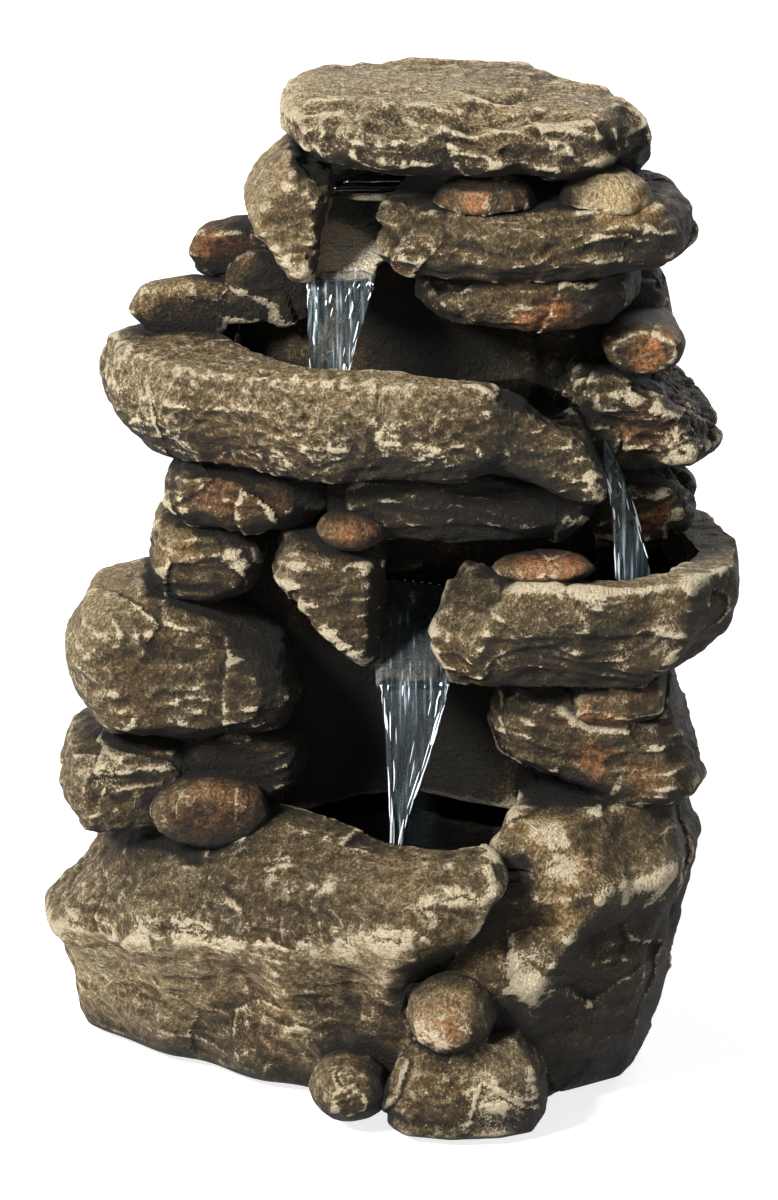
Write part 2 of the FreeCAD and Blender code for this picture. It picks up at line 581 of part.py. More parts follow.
slider = new_body("flow_slider", PUMP_PLACE)
slider_face = f"{face} + sizes.slider_gap"
slider_y = "sizes.slider_height / 2"
thumb_base = f"{slider_face} + sizes.slider_thickness"
extrude(slider, "Pad", box_profile(slider, "slider_plate", "sizes.slider_width", "sizes.slider_height",
                                   height=slider_face, y=slider_y), "sizes.slider_thickness")
extrude(slider, "Pad", box_profile(slider, "slider_thumb", "sizes.slider_width / 4", "sizes.slider_height",
                                   height=thumb_base, y=slider_y), "sizes.slider_thickness")

impeller = new_body("impeller", PUMP_PLACE)
rotor_start = f"{bore_floor} + sizes.rotor_end_gap"
disc_start = f"{front} + sizes.disc_gap"
extrude(impeller, "Pad", disc_profile(impeller, "magnet_rotor", "sizes.rotor_radius", height=rotor_start),
        "sizes.bore_depth - sizes.rotor_end_gap + sizes.disc_gap")
extrude(impeller, "Pad", disc_profile(impeller, "impeller_disc", "sizes.disc_radius", height=disc_start),
        "sizes.disc_thickness")
blade = box_profile(impeller, "blade", "sizes.blade_length", "sizes.blade_width",
                    height=f"{disc_start} + sizes.disc_thickness",
                    x="sizes.disc_radius - sizes.blade_length / 2")
first_blade = extrude(impeller, "Pad", blade, "sizes.blade_height")
blades = impeller.newObject("PartDesign::PolarPattern", "blades")
blades.Originals = [first_blade]
blades.Axis = (next(f for f in impeller.Origin.OriginFeatures if f.Role == "Z_Axis"), [""])
blades.Angle = 360
blades.setExpression("Occurrences", "sizes.blade_count")
impeller.Tip = blades
doc.recompute()
extrude(impeller, "Pocket", disc_profile(impeller, "shaft_bore", "sizes.shaft_radius + sizes.run_gap",
                                         height=rotor_start), "sizes.bore_depth + sizes.volute_length")

shaft = doc.addObject("Part::Cylinder", "impeller_shaft")
shaft.setExpression("Radius", "sizes.shaft_radius")
shaft.setExpression("Height", "sizes.bore_depth + sizes.bush_length + sizes.volute_length")
rear_bush_z = size("pump_length") - size("bore_depth") - size("bush_length")
shaft.Placement = PUMP_PLACE * Placement(Vector(0, 0, rear_bush_z), Rotation())
nodes.append(shaft)


def in_pump(shape):
    """A shape drawn along the pump's shaft, put where the pump is."""
    placed = shape.copy()
    placed.Placement = PUMP_PLACE * placed.Placement
    return placed


UPWARDS = Vector(0, 0, 1)


def sleeve(outer, inner, start, length, direction=UPWARDS):
    """A plain ring or tube."""
    return rod(outer, start, length, direction).cut(rod(inner, start, length, direction))


front_bush_z = size("pump_length") + size("volute_length") - size("spider_depth")
node("shaft_bushes", Part.makeCompound([
    in_pump(sleeve(size("bush_radius"), size("shaft_radius") + size("seat_fit"), Vector(0, 0, z), length))
    for z, length in ((rear_bush_z, size("bush_length")), (front_bush_z, size("spider_depth")))]))
foot_y = -size("pump_height") / 2
foot_x = size("pump_width") / 2 - size("sucker_radius")
sucker = (size("sucker_neck"), size("sucker_radius"), size("sucker_height"))
node("suction_feet", Part.makeCompound([
    in_pump(Part.makeCone(*sucker, Vector(x, foot_y, z), Vector(0, -1, 0)))
    for x in (-foot_x, foot_x)
    for z in (size("sucker_radius"), size("pump_length") - size("sucker_radius"))]))
gland_start = Vector(0, size("pump_height") / 2, size("gland_set"))
gland = sleeve(size("gland_radius"), size("gland_bore"), gland_start, size("gland_length"), BACKWARDS)
node("pump_gland", in_pump(gland))

# The riser: tube from the pump's nozzle to the fitting in the reservoir's floor
nozzle_top = shaft_z + size("pump_height") / 2 + size("nozzle_length")
cup_floor = reservoir_high - size("cup_depth")
tail_end = reservoir_low - size("nut_height") - size("tail_length")
tube_low = nozzle_top - size("tube_overlap")
tube_high = tail_end + size("tube_overlap")
node("supply_tube", sleeve(tube_radius, size("tube_bore"), fitting + UPWARDS * tube_low,
                           tube_high - tube_low))
clip_inner = tube_radius + size("clip_fit")
node("hose_clips", Part.makeCompound([
    sleeve(clip_inner + size("clip_wall"), clip_inner, fitting + UPWARDS * z, size("clip_height"))
    for z in (tube_low + size("clip_inset"), tube_high - size("clip_inset") - size("clip_height"))]))
flange_base = cup_floor + size("seal_height")
stem = rod(size("nozzle_radius"), fitting + UPWARDS * tail_end, flange_base - tail_end, UPWARDS)
flange = rod(size("fitting_flange"), fitting + UPWARDS * flange_base, size("fitting_flange_height"), UPWARDS)
fitting_bore = rod(size("nozzle_bore"), fitting + UPWARDS * tail_end, reservoir_high - tail_end, UPWARDS)
node("outlet_fitting", stem.fuse(flange).cut(fitting_bore).removeSplitter())
node("fitting_seal", sleeve(size("fitting_flange"), size("nozzle_radius") + size("seat_fit"),
                            fitting + UPWARDS * cup_floor, size("seal_height")))
hexagon = [Rotation(UPWARDS, 60 * k).multVec(Vector(size("nut_radius"), 0, 0)) for k in range(7)]
nut = Part.Face(Part.makePolygon(hexagon)).extrude(UPWARDS * size("nut_height"))
nut.translate(fitting + UPWARDS * (reservoir_low - size("nut_height")))
node("fitting_nut", nut.cut(rod(size("nozzle_radius") + size("seat_fit"),
                                fitting + UPWARDS * tail_end, reservoir_high - tail_end, UPWARDS)))

# The access door: a cover plate with a spigot that plugs the doorway; local +Z points backwards
DOOR_PLACE = Placement(Vector(0, back, door_middle), Rotation(Vector(1, 0, 0), -90))
door = new_body("access_door", DOOR_PLACE)
plate_face = "sizes.door_fit / 2"
door_outline = ("sizes.door_width", "sizes.door_height")
extrude(door, "Pad", box_profile(door, "door_face", *door_outline, height=plate_face), "sizes.door_plate")
round_edges(door, "sizes.door_round")
spigot_out = [f"sizes.{side} - 2 * sizes.door_margin - 2 * sizes.door_fit"
              for side in ("door_width", "door_height")]
spigot_in = [f"{side} - 2 * sizes.spigot_wall" for side in spigot_out]
extrude(door, "Pad", box_profile(door, "spigot", *spigot_out, height=plate_face), "sizes.spigot_depth",
        downwards=True)
extrude(door, "Pocket", box_profile(door, "spigot_hollow", *spigot_in, height=plate_face),
        "sizes.spigot_depth", downwards=True)
extrude(door, "Pad", box_profile(door, "finger_grip", "sizes.grip_width", "sizes.grip_height",
                                 height=f"{plate_face} + sizes.door_plate"), "sizes.grip_depth")

# Small fittings in the back wall, and the feet
lip = size("grommet_lip")
neck = wall + GAP + size("lip_slack")
grommet_front = Vector(0, back - wall - size("lip_slack"), grommet_z)
stem_radius = size("grommet_radius") - size("seat_fit")
grommet = rod(stem_radius, grommet_front, neck)
for start in (grommet_front - BACKWARDS * lip, grommet_front + BACKWARDS * neck):
    grommet = grommet.fuse(rod(size("grommet_flange"), start, lip))
grommet = grommet.cut(rod(size("grommet_bore"), grommet_front - BACKWARDS * 2 * lip, neck + 4 * lip))
node("cord_grommet", grommet.removeSplitter())
plug = rod(size("drain_radius"), drain_at - BACKWARDS * wall, wall + size("drain_gap"))
plug = plug.fuse(rod(size("drain_head"), drain_at + BACKWARDS * size("drain_gap"), size("drain_head_height")))
node("drain_plug", plug.removeSplitter())
FEET = [(-60, 68), (60, 68), (-58, 6), (62, -28), (18, -58)]
node("base_feet", Part.makeCompound([
    rod(size("foot_radius"), Vector(x, y, 0), size("foot_height"), UPWARDS) for x, y in FEET]))

doc.recompute()
for item in doc.Objects:
    if "Invalid" in item.State or "Error" in item.State:
        raise RuntimeError(f"{item.Label} failed: {item.State}")
os.makedirs("parts", exist_ok=True)
for piece in nodes:
    if piece.Shape.isNull() or not piece.Shape.isValid():
        raise RuntimeError(f"{piece.Label} is not a valid solid")
    piece.Shape.exportStep(f"parts/{piece.Label}.step")
    print(f"{piece.Label:18s} solids {len(piece.Shape.Solids)} volume {piece.Shape.Volume / 1000:8.1f} cm3")
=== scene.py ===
"""A tabletop rock fountain with three falls: its carved stones, water, works and studio."""

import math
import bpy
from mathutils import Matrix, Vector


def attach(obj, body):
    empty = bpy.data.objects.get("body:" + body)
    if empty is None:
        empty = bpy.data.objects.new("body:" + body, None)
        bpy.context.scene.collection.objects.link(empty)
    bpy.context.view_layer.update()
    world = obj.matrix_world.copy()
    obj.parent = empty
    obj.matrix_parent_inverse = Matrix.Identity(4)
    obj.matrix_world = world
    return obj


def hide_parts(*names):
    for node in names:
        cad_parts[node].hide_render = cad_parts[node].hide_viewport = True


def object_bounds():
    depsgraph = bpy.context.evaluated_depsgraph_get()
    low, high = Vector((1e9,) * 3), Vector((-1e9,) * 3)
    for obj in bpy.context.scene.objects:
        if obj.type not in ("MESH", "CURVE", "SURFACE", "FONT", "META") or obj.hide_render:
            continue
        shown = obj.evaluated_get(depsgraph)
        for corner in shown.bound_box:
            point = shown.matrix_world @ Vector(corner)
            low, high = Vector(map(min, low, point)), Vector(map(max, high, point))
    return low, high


bl_info = {
    "name": "Rock Cascade Fountain",
    "version": (1, 0, 0),
    "blender": (4, 5, 0),
    "location": "View3D > Sidebar > Fountain",
    "description": "Carves the stones of a tabletop fountain, pours its water and sets its studio",
    "category": "Add Mesh",
}

import bmesh
import bpy
import numpy as np
from mathutils import Matrix, Vector
from mathutils import noise as lumps
from mathutils.bvhtree import BVHTree

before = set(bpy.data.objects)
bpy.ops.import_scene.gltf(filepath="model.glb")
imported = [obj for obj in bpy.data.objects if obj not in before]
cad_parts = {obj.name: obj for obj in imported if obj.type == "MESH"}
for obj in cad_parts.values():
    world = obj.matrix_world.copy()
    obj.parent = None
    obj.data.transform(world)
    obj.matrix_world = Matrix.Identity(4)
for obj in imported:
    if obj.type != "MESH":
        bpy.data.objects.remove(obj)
CAD_BOX = [list(corner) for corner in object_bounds()]
MM = 0.001
ROOT = "fountain"

# How each kind of stone is carved: the squares' size, rounds of wear and each relief's height, in
# millimetres. Facets, beds, ripples and wrinkles also have their size, which may be along x, y and z. brush
# lightens the paint, which also carries the painted light and shade; shade is the share of the hollows'
# painted shade and dark wash that is kept, most is the tallest relief, and back cuts the back deeper.
KINDS = {
    "slab": dict(
        voxel=0.95, wear=8, lump=2.6, facet=1.8, facet_size=30, bed=2.2, bed_size=(46, 46, 15), ripple=0.6,
        ripple_size=(32, 15, 6), wrinkle=0.6, wrinkle_size=(15, 9, 4.5), grain=0.45, brush_and_painted_light=0.0),
    "basin": dict(
        voxel=1.0, wear=12, lump=3.8, facet=1.0, facet_size=44, bed=1.4, bed_size=(60, 60, 20), ripple=0.4,
        ripple_size=(44, 30, 9), wrinkle=0.45, wrinkle_size=(6, 6, 3.8), grain=0.4, brush_and_painted_light=0.02),
    "boulder": dict(
        voxel=1.1, wear=12, lump=4.0, facet=2.2, facet_size=44, bed=1.8, bed_size=(40, 40, 26), ripple=0.5,
        ripple_size=(30, 30, 11), wrinkle=0.5, wrinkle_size=(15, 15, 6.5), grain=0.45, brush_and_painted_light=0.0),
    "pebble": dict(
        voxel=0.75, wear=14, lump=1.0, facet=0.5, facet_size=22, bed=0.5, bed_size=(18, 18, 12), ripple=0.1,
        ripple_size=(9, 9, 5), wrinkle=0.1, wrinkle_size=(6, 6, 4), grain=0.2, brush_and_painted_light=-0.07),
    "chute": dict(
        voxel=0.8, wear=5, lump=0.6, facet=0.3, facet_size=24, bed=0.5, bed_size=(14, 40, 30), ripple=0.2,
        ripple_size=(5, 26, 26), wrinkle=0.15, wrinkle_size=(4, 9, 9), grain=0.15, brush_and_painted_light=0.05, shade=0.2),
    "cliff": dict(
        voxel=1.7, wear=5, lump=1.8, facet=1.2, facet_size=36, bed=2.4, bed_size=(60, 60, 18), ripple=0.8,
        ripple_size=(34, 34, 7), wrinkle=0.5, wrinkle_size=(14, 14, 7), grain=0.3, brush_and_painted_light=0.05, most=0.0,
        back=True),
    "crag": dict(
        voxel=0.9, wear=6, lump=2.6, facet=3.2, facet_size=15, bed=3.4, bed_size=(28, 28, 9), ripple=1.6,
        ripple_size=(14, 12, 6), wrinkle=1.1, wrinkle_size=(8, 6, 4), grain=0.5, brush_and_painted_light=-0.14),
}

# The stones: node, kind, material slot, and what differs from the kind. brush also darkens stones that lie
# in shadow as painted shade, cream adds dry-brushed edges, and under and front paint light or shade on the
# faces that look down or forward.
STONES = {
    "upper_basin": ("basin", "rock", dict(wear=34, brush_and_painted_light=-0.03, cream=0.04, under=-0.12)),
    "middle_basin": ("basin", "rock", dict(
        facet=1.4, bed=3.0, ripple=1.4, ripple_size=(44, 30, 13), wrinkle=0.8, wrinkle_size=(14, 12, 6),
        brush_and_painted_light=-0.06, cream=0.04)),
    "lower_basin": ("boulder", "rock", dict(voxel=1.2, facet=1.0, brush_and_painted_light=-0.13, cream=0.0, under=0.42)),
    "right_boulder": ("boulder", "rock", dict(voxel=1.2, brush_and_painted_light=-0.02, cream=0.04)),
    # The top spillway's floor is painted pale: its own pale sand, made paler as painted light where the cap
    # shades it
    "top_chute": ("chute", "rock_chute", dict(brush_and_painted_light=0.75)),
    "lower_chute": ("chute", "rock_chute", {}),
    "top_reservoir": ("cliff", "rock_shell", dict(voxel=1.5)),
    "cap_slab": ("slab", "rock", dict(
        facet=0.8, bed=3.0, ripple=2.2, ripple_size=(42, 15, 13), wrinkle=1.2, wrinkle_size=(20, 9, 8),
        brush_and_painted_light=0.02, cream=0.1, front=-0.14)),
    "chute_stone_left": ("slab", "rock", dict(wear=14, facet=1.0, bed=1.2, brush_and_painted_light=0.1, cream=0.0)),
    "upper_slab": ("slab", "rock", dict(facet=1.0, brush_and_painted_light=-0.1, cream=0.0)),
    "cap_prop": ("slab", "rock", dict(brush_and_painted_light=-0.1)),
    "cap_back": ("slab", "rock", dict(brush_and_painted_light=-0.04, cream=0.02)),
    "slab_pebble_left": ("pebble", "rock_copper", dict(cream=-0.06)),
    "slab_pebble_right": ("pebble", "rock_copper", dict(brush_and_painted_light=0.12, cream=-0.06)),
    "under_slab": ("slab", "rock", dict(brush_and_painted_light=-0.1)),
    "copper_cobble": ("pebble", "rock_copper", dict(cream=-0.06)),
    "strata_rock": ("crag", "rock", dict(cream=0.05)),
    "right_filler": ("crag", "rock", {}),
    "strata_foot": ("crag", "rock", {}),
    "left_log_low": ("pebble", "rock", dict(wear=8, lump=1.2, facet=0.8, brush_and_painted_light=-0.22, cream=0.08)),
    "left_log_high": ("slab", "rock_copper", dict(lump=1, facet=1, bed=1, brush_and_painted_light=-0.2)),
    "left_filler": ("slab", "rock", dict(brush_and_painted_light=-0.12)),
    "upper_spout": ("basin", "rock", {}),
    "spout_bed": ("slab", "rock", dict(brush_and_painted_light=-0.14)),
    "left_bed": ("slab", "rock", dict(brush_and_painted_light=-0.12, cream=0.02)),
    "lip_pebble": ("pebble", "rock_copper", dict(cream=-0.06)),
    "chute_wedge": ("slab", "rock", dict(brush_and_painted_light=-0.08, cream=0.02)),
    "rim_pebble": ("pebble", "rock_copper", dict(cream=-0.06)),
    "left_boulder": ("boulder", "rock", dict(facet=1.2, brush_and_painted_light=-0.05, cream=0.0)),
    "left_knob": ("slab", "rock", dict(brush_and_painted_light=-0.1, cream=0.04)),
    "left_stump": ("slab", "rock", dict(brush_and_painted_light=-0.04, cream=0.05)),
    "shadow_stone": ("slab", "rock", dict(brush_and_painted_light=-0.14)),
    "copper_pebble": ("pebble", "rock_copper", {}),
    "lip_stone": ("pebble", "rock_copper", {}),
    "right_wedge": ("slab", "rock", dict(brush_and_painted_light=-0.1, cream=0.02)),
    "front_stone": ("boulder", "rock", dict(voxel=0.9, wear=10, cream=0.06)),
    "round_cobble": ("pebble", "rock", dict(brush_and_painted_light=0.0, cream=0.02)),
    "small_cobble": ("pebble", "rock", dict(brush_and_painted_light=-0.02, cream=-0.06)),
    "cliff_shell": ("cliff", "rock_shell", {}),
    "reservoir_tub": ("cliff", "rock_shell", {}),
}
# Nodes that show as one stone with the first
JOINED = {"upper_basin": ["upper_spout"]}
# The stones that each operator carves
GROUPS = {
    "basins": ["upper_basin", "middle_basin", "lower_basin", "right_boulder"],
    "chutes": ["top_chute", "lower_chute", "chute_stone_left", "chute_wedge"],
    "slabs": ["cap_slab", "cap_prop", "cap_back", "upper_slab", "under_slab", "strata_rock", "right_filler",
              "strata_foot", "spout_bed", "left_bed", "right_wedge"],
    "left_stones": ["left_log_low", "left_log_high", "left_filler", "left_boulder", "left_knob",
                    "left_stump", "shadow_stone", "front_stone"],
    "pebbles": ["slab_pebble_left", "slab_pebble_right", "copper_cobble", "lip_pebble", "rim_pebble",
                "copper_pebble", "lip_stone", "round_cobble", "small_cobble"],
    "cliff": ["cliff_shell", "reservoir_tub", "top_reservoir"],
}

# Washes of colour over parts of the stones: each one's middle and reach in millimetres, and its strength.
# The dark ones are painted shade, and the cream ones partly painted highlight.
WASHES = {
    "copper": [
        (-65, 6, 326, 9, 0.6), (-54, 6, 324, 9, 0.6), (51, -44, 310, 10, 0.9), (61, -43, 311, 12, 0.95),
        (70, -37, 307, 8, 0.8), (99, -25, 290, 12, 0.95), (32, -44, 358, 8, 0.7),
        (26, -39, 360, 12, 0.35), (54, -61, 220, 11, 0.75), (66, -60, 219, 11, 0.75),
        (78, -29, 258, 5, 0.6), (103, -22, 225, 8, 0.7), (-11, -54, 228, 13, 0.35),
        (-92, -23, 131, 5, 0.6), (-52, -34, 120, 7, 0.95), (-67, -49, 122, 19, 0.2),
        (22, -109, 49, 15, 0.55), (78, -49, 137, 13, 0.55), (97, -49, 131, 12, 0.2),
        (72, -56, 157, 9, 0.6), (85, -56, 153, 8, 0.5), (-61, -38, 241, 23, 0.3),
        (-38, -35, 236, 19, 0.25), (3, -38, 326, 7, 0.8), (97, -28, 262, 20, 0.3)],
    "ochre": [
        (87, -40, 359, 19, 0.95), (-81, -1, 305, 23, 0.5), (-92, 4, 309, 15, 0.5),
        (61, -64, 113, 13, 0.95), (67, -72, 99, 13, 0.95), (65, -77, 86, 12, 0.9),
        (-79, -30, 215, 12, 0.6)],
    "slate": [
        (12, -20, 181, 60, 0.9), (-8, 16, 346, 18, 0.7)],
    # Dry-brushed cream, in places also a painted highlight on faces where the light falls
    "cream": [
        (61, -63, 219, 10, 0.2), (112, -29, 254, 13, 0.3), (116, -14, 262, 12, 0.15),
        (9, -45, 336, 12, 0.25), (95, -42, 342, 5, 0.25), (104, -66, 195, 9, 0.4),
        (89, -69, 184, 8, 0.25), (66, -72, 186, 8, 0.25), (43, -67, 183, 8, 0.25),
        (105, 26, 190, 14, 0.3), (85, -66, 210, 10, 0.2), (-7, -42, 210, 5, 0.3), (-7, -42, 198, 5, 0.3),
        (-7, -41, 182, 5, 0.3), (-110, -37, 180, 22, 0.12), (-114, -34, 159, 19, 0.12),
        (-75, -39, 154, 12, 0.22), (-109, -32, 126, 14, 0.3), (-123, -15, 58, 10, 0.3),
        (-108, -29, 63, 10, 0.3), (-92, -45, 67, 10, 0.5), (-77, -56, 68, 11, 0.6),
        (-63, -64, 67, 11, 0.6), (-46, -72, 66, 10, 0.5), (-31, -79, 69, 10, 0.5),
        (-15, -86, 73, 10, 0.5), (0, -93, 79, 10, 0.5), (16, -97, 88, 10, 0.45), (27, -98, 96, 10, 0.4),
        (-58, -51, 100, 8, 0.2), (-42, -64, 99, 8, 0.25), (-23, -79, 97, 8, 0.25),
        (-119, -4, 68, 19, 0.22), (-56, -48, 30, 10, 0.3), (-36, -60, 31, 8, 0.4),
        (-73, -28, 15, 23, 0.12), (-100, -13, 26, 15, 0.12), (66, -72, 100, 9, 0.75),
        (63, -66, 110, 8, 0.6), (49, -84, 64, 14, 0.5), (58, -86, 56, 10, 0.4), (101, -55, 84, 8, 0.7),
        (112, -30, 79, 8, 0.7), (89, -66, 86, 7, 0.6), (97, -54, 44, 12, 0.2), (16, -106, 42, 12, 0.5),
        (43, -110, 15, 19, 0.5), (-19, -99, 23, 13, 0.2), (-104, -17, 281, 23, 0.2),
        (-92, -29, 267, 19, 0.18), (-100, -25, 260, 9, 0.45), (-80, -38, 256, 9, 0.5),
        (-60, -48, 253, 9, 0.5), (-40, -56, 257, 8, 0.45), (-19, -62, 264, 9, 0.5),
        (-1, -64, 271, 9, 0.45), (44, -60, 266, 8, 0.35), (-23, -60, 264, 15, 0.25),
        (16, -65, 265, 10, 0.35), (-34, -6, 392, 15, 0.1), (-23, -33, 390, 8, 0.2),
        (4, -41, 391, 8, 0.22), (31, -42, 389, 8, 0.25), (66, -37, 383, 10, 0.3),
        (93, -14, 380, 10, 0.25), (-38, -11, 387, 12, 0.25), (-44, -39, 356, 19, 0.06),
        (-14, -12, 334, 20, 0.4), (-17, -24, 327, 14, 0.3), (-60, -70, 40, 55, 0.1)],
    # Painted shade: the alcove, the spaces behind the falls and pools, and stones under overhangs
    "dark": [
        (4, 14, 132, 74, 1.0), (10, 4, 106, 52, 0.9), (20, 8, 302, 56, 0.8), (36, -46, 234, 40, 0.4),
        (-44, 14, 305, 22, 0.7), (60, -6, 240, 44, 0.7), (-36, -20, 196, 32, 0.6),
        (-52, -22, 172, 26, 0.6), (-4, 30, 352, 30, 1.0), (47, -78, 99, 13, 0.9)],
}

# Where a stone's face is drawn out or in: middle, reach and move, all in millimetres
GRABS = {
    "upper_basin": [
        (46, -56, 241, 24, 0, 4, 9), (64, -48, 283, 26, -4, 0, -9), (83, -42, 250, 18, -3, 0, 0),
        (52, -60, 276, 18, 0, 3, -4), (-70, -46, 258, 30, 0, 3, 3), (0, -66, 254, 30, 0, 4, 2),
        (44, -58, 284, 16, -1, 4, -4), (66, -52, 262, 28, 0, 7, 0)],
    "lower_basin": [
        (-104, 10, 6, 48, -9, 0, 0), (-128, -10, 64, 30, -3, 0, 0), (30, -86, 56, 26, -8, 8, 0),
        (38, -82, 100, 18, 6, 0, 0), (8, -70, 22, 36, 7, -16, 0), (-92, -40, 66, 24, -2, -3, 1),
        (-48, -70, 66, 28, 0, -3, 1), (0, -92, 78, 26, 0, -2, 2), (-96, -20, 42, 24, 3, 4, 0),
        (-56, -52, 42, 26, 1, 5, 0), (-12, -74, 46, 28, 0, 5, 0), (-90, -20, 10, 28, -2, -5, 0),
        (-56, -40, 10, 28, 0, -6, 0), (-28, -60, 22, 20, 0, -4, 0)],
    "right_boulder": [
        (40, -86, 56, 34, -7, -2, 0), (28, -70, 96, 22, -4, 0, 0), (100, -52, 70, 26, -4, 7, -2),
        (102, -52, 88, 16, 2, -4, 2), (62, -66, 108, 18, 0, -4, 0), (86, -64, 108, 22, 0, 5, 0),
        (112, -20, 62, 20, -5, 0, 0), (78, -72, 72, 16, 0, 5, 0), (84, -66, 30, 30, 0, -4, 0),
        (46, -64, 104, 22, -6, -3, 0), (36, -82, 24, 32, -10, -8, 0)],
    "cap_slab": [
        (-23, -33, 390, 22, 0, -1, -6), (4, -41, 391, 22, 0, -1, -8), (31, -42, 389, 24, 0, -1, -8),
        (66, -37, 383, 24, 0, -1, -6)],
    "upper_slab": [(-3, -40, 353, 18, 8, 0, 0), (12, -44, 329, 16, -9, 0, 0)],
    "front_stone": [(2, -98, 14, 18, -5, 0, 0)],
    "small_cobble": [(-7, -95, 14, 12, 3, 0, 0)],
    "top_chute": [(8, -26, 320, 18, -10, 0, 0), (-34, -26, 320, 14, 4, 0, 0)],
    "lower_chute": [(29, -44, 166, 16, -7, 0, 0)],
    "middle_basin": [
        (28, -54, 210, 26, 14, 2, -7), (22, -58, 178, 16, 2, 0, 3), (70, -70, 178, 30, 0, 4, 2),
        (116, -46, 176, 24, -3, 3, 3)],
}

# Where a stone is worn rounder: middle and reach in millimetres
WORN = {
    "upper_basin": [(46, -56, 266, 34), (60, -50, 250, 26)],
    "lower_chute": [(-4, -46, 164, 14), (22, -46, 164, 14)],
    "top_chute": [(-30, -28, 322, 10), (-6, -28, 322, 10)],
    "left_boulder": [(-104, -40, 176, 34)],
    "middle_basin": [(34, -54, 206, 24)],
}

# The works and fittings, which show as they were packed: node and finish
WORKS = {
    "pump_body": "pump_plastic", "volute_cover": "pump_plastic", "inlet_strainer": "pump_plastic",
    "flow_slider": "slider_plastic", "impeller": "rotor_plastic", "impeller_shaft": "steel",
    "shaft_bushes": "bearing_plastic", "suction_feet": "rubber", "pump_gland": "rubber",
    "supply_tube": "vinyl", "hose_clips": "steel", "outlet_fitting": "pump_plastic",
    "fitting_nut": "pump_plastic", "fitting_seal": "rubber",
}
FITTINGS = {
    "access_door": "door_plastic", "cord_grommet": "rubber", "drain_plug": "rubber", "base_feet": "rubber",
}

# Each fall's line from its head to its foot, with half its width, in millimetres
FALLS = {
    "top_film": [
        (-5, 30, 347.6, 10), (-8, 13, 347.2, 12.2), (-11, -2, 339, 12.4), (-13.4, -12, 333.4, 12.4)],
    "top_fall": [
        (-17, -27, 325, 12), (-18.2, -32, 322, 12.4), (-18.8, -34, 318.6, 12), (-19.8, -35.6, 311, 11),
        (-21.4, -36.7, 299, 9), (-22.6, -37.3, 285, 7.2), (-23.2, -37.6, 270.5, 5.6)],
    "spout_fall": [
        (60, -41, 272.4, 9), (69, -40, 271.6, 7.5), (77, -39, 261, 5.4), (84, -38.5, 249.5, 4.2),
        (86.6, -38.2, 244, 3.8), (89.4, -37.8, 232, 4.4), (92.2, -37.3, 215, 6), (95, -36.8, 195.5, 8)],
    "lower_fall": [
        (14, 20, 196.6, 12), (13, 8, 195.4, 12.8), (11.5, -20, 181.8, 12.8), (10, -48, 168.2, 13),
        (9.8, -50.2, 165, 12.6), (9, -51.8, 155, 11), (7, -52.8, 136, 7.6), (4, -53.3, 115, 3.6),
        (2, -53.5, 96, 1.5)],
}
# Each pool's level, where the fall strikes it and its outline, set a little into the rock
POOLS = {
    "top_pool": (347.2, (12, 41), [
        (-26, 8), (12, 8), (26, 26), (35, 41), (24, 60), (0, 62), (-11, 41), (-14, 26)]),
    "upper_pool": (271.6, (-24, -37.6), [
        (-77, 14), (-61, -9), (-36, -40), (10, -52), (46, -58), (68, -46), (73, -20), (32, 37), (-62, 37)]),
    "middle_pool": (196.4, (95, -37), [
        (-2, -6), (24, -20), (45, -48), (80, -59), (109, -48), (121, -14), (110, 30), (40, 37), (-2, 23)]),
    "lower_pool": (96.5, (2, -53.5), [
        (-50, -20), (0, -61), (24, -77), (36, -75), (50, -52), (64, 0), (62, 34), (-42, 34)]),
}

# What the back wall carries, round which it stays as it was cast: the door's middle height and half its
# sides, and each round fitting's x, z and radius
DOOR_HEIGHT, DOOR_HALF_WIDTH, DOOR_HALF_HEIGHT = 139, 38, 31
ROUND_FITTINGS = [(0, 183, 9), (-40, 20, 8)]

# How far relief may stand out of a packed face, go into it, and go into the thin back wall, in millimetres
TALLEST, DEEPEST, BACK_DEEPEST = 3.4, 5, 4.2
# The way that the light comes from, where the stones are painted paler
LIT_SIDE = np.array([-0.64, -0.26, 0.72])
WATER_IOR = 1.33
# Added to a place before it is cut into cells, so that no cell's number is below 0
FAR = 4096
CORNERS = np.array([(i, j, k) for i in (0, 1) for j in (0, 1) for k in (0, 1)])
NEIGHBOURS = np.array([(i, j, k) for i in (-1, 0, 1) for j in (-1, 0, 1) for k in (-1, 0, 1)])


def scramble(cell, seed):
    """A repeatable number from 0 to 1 for each whole-numbered cell."""
    cell = cell.astype(np.uint64)
    mixed = cell[:, 0] * np.uint64(73856093) ^ cell[:, 1] * np.uint64(19349663)
    mixed = mixed ^ cell[:, 2] * np.uint64(83492791) ^ np.uint64(seed * 40503 + 17)
    mixed = (mixed ^ mixed >> np.uint64(15)) * np.uint64(2246822519) & np.uint64(0xFFFFFFFF)
    mixed = (mixed ^ mixed >> np.uint64(13)) * np.uint64(3266489917) & np.uint64(0xFFFFFFFF)
    return ((mixed ^ mixed >> np.uint64(16)) & np.uint64(0xFFFFFF)) / float(0xFFFFFF)


def soft_noise(points, scale, seed):
    """Smooth noise from -1 to 1, with lumps about scale across; scale may differ along x, y and z."""
    at = points / np.asarray(scale, float) + FAR
    low = np.floor(at)
    part = at - low
    part = part * part * (3 - 2 * part)
    total = np.zeros(len(points))
    for corner in CORNERS:
        weight = np.prod(np.where(corner, part, 1 - part), axis=1)
        total += weight * scramble(low + corner, seed)
    return 2 * total - 1


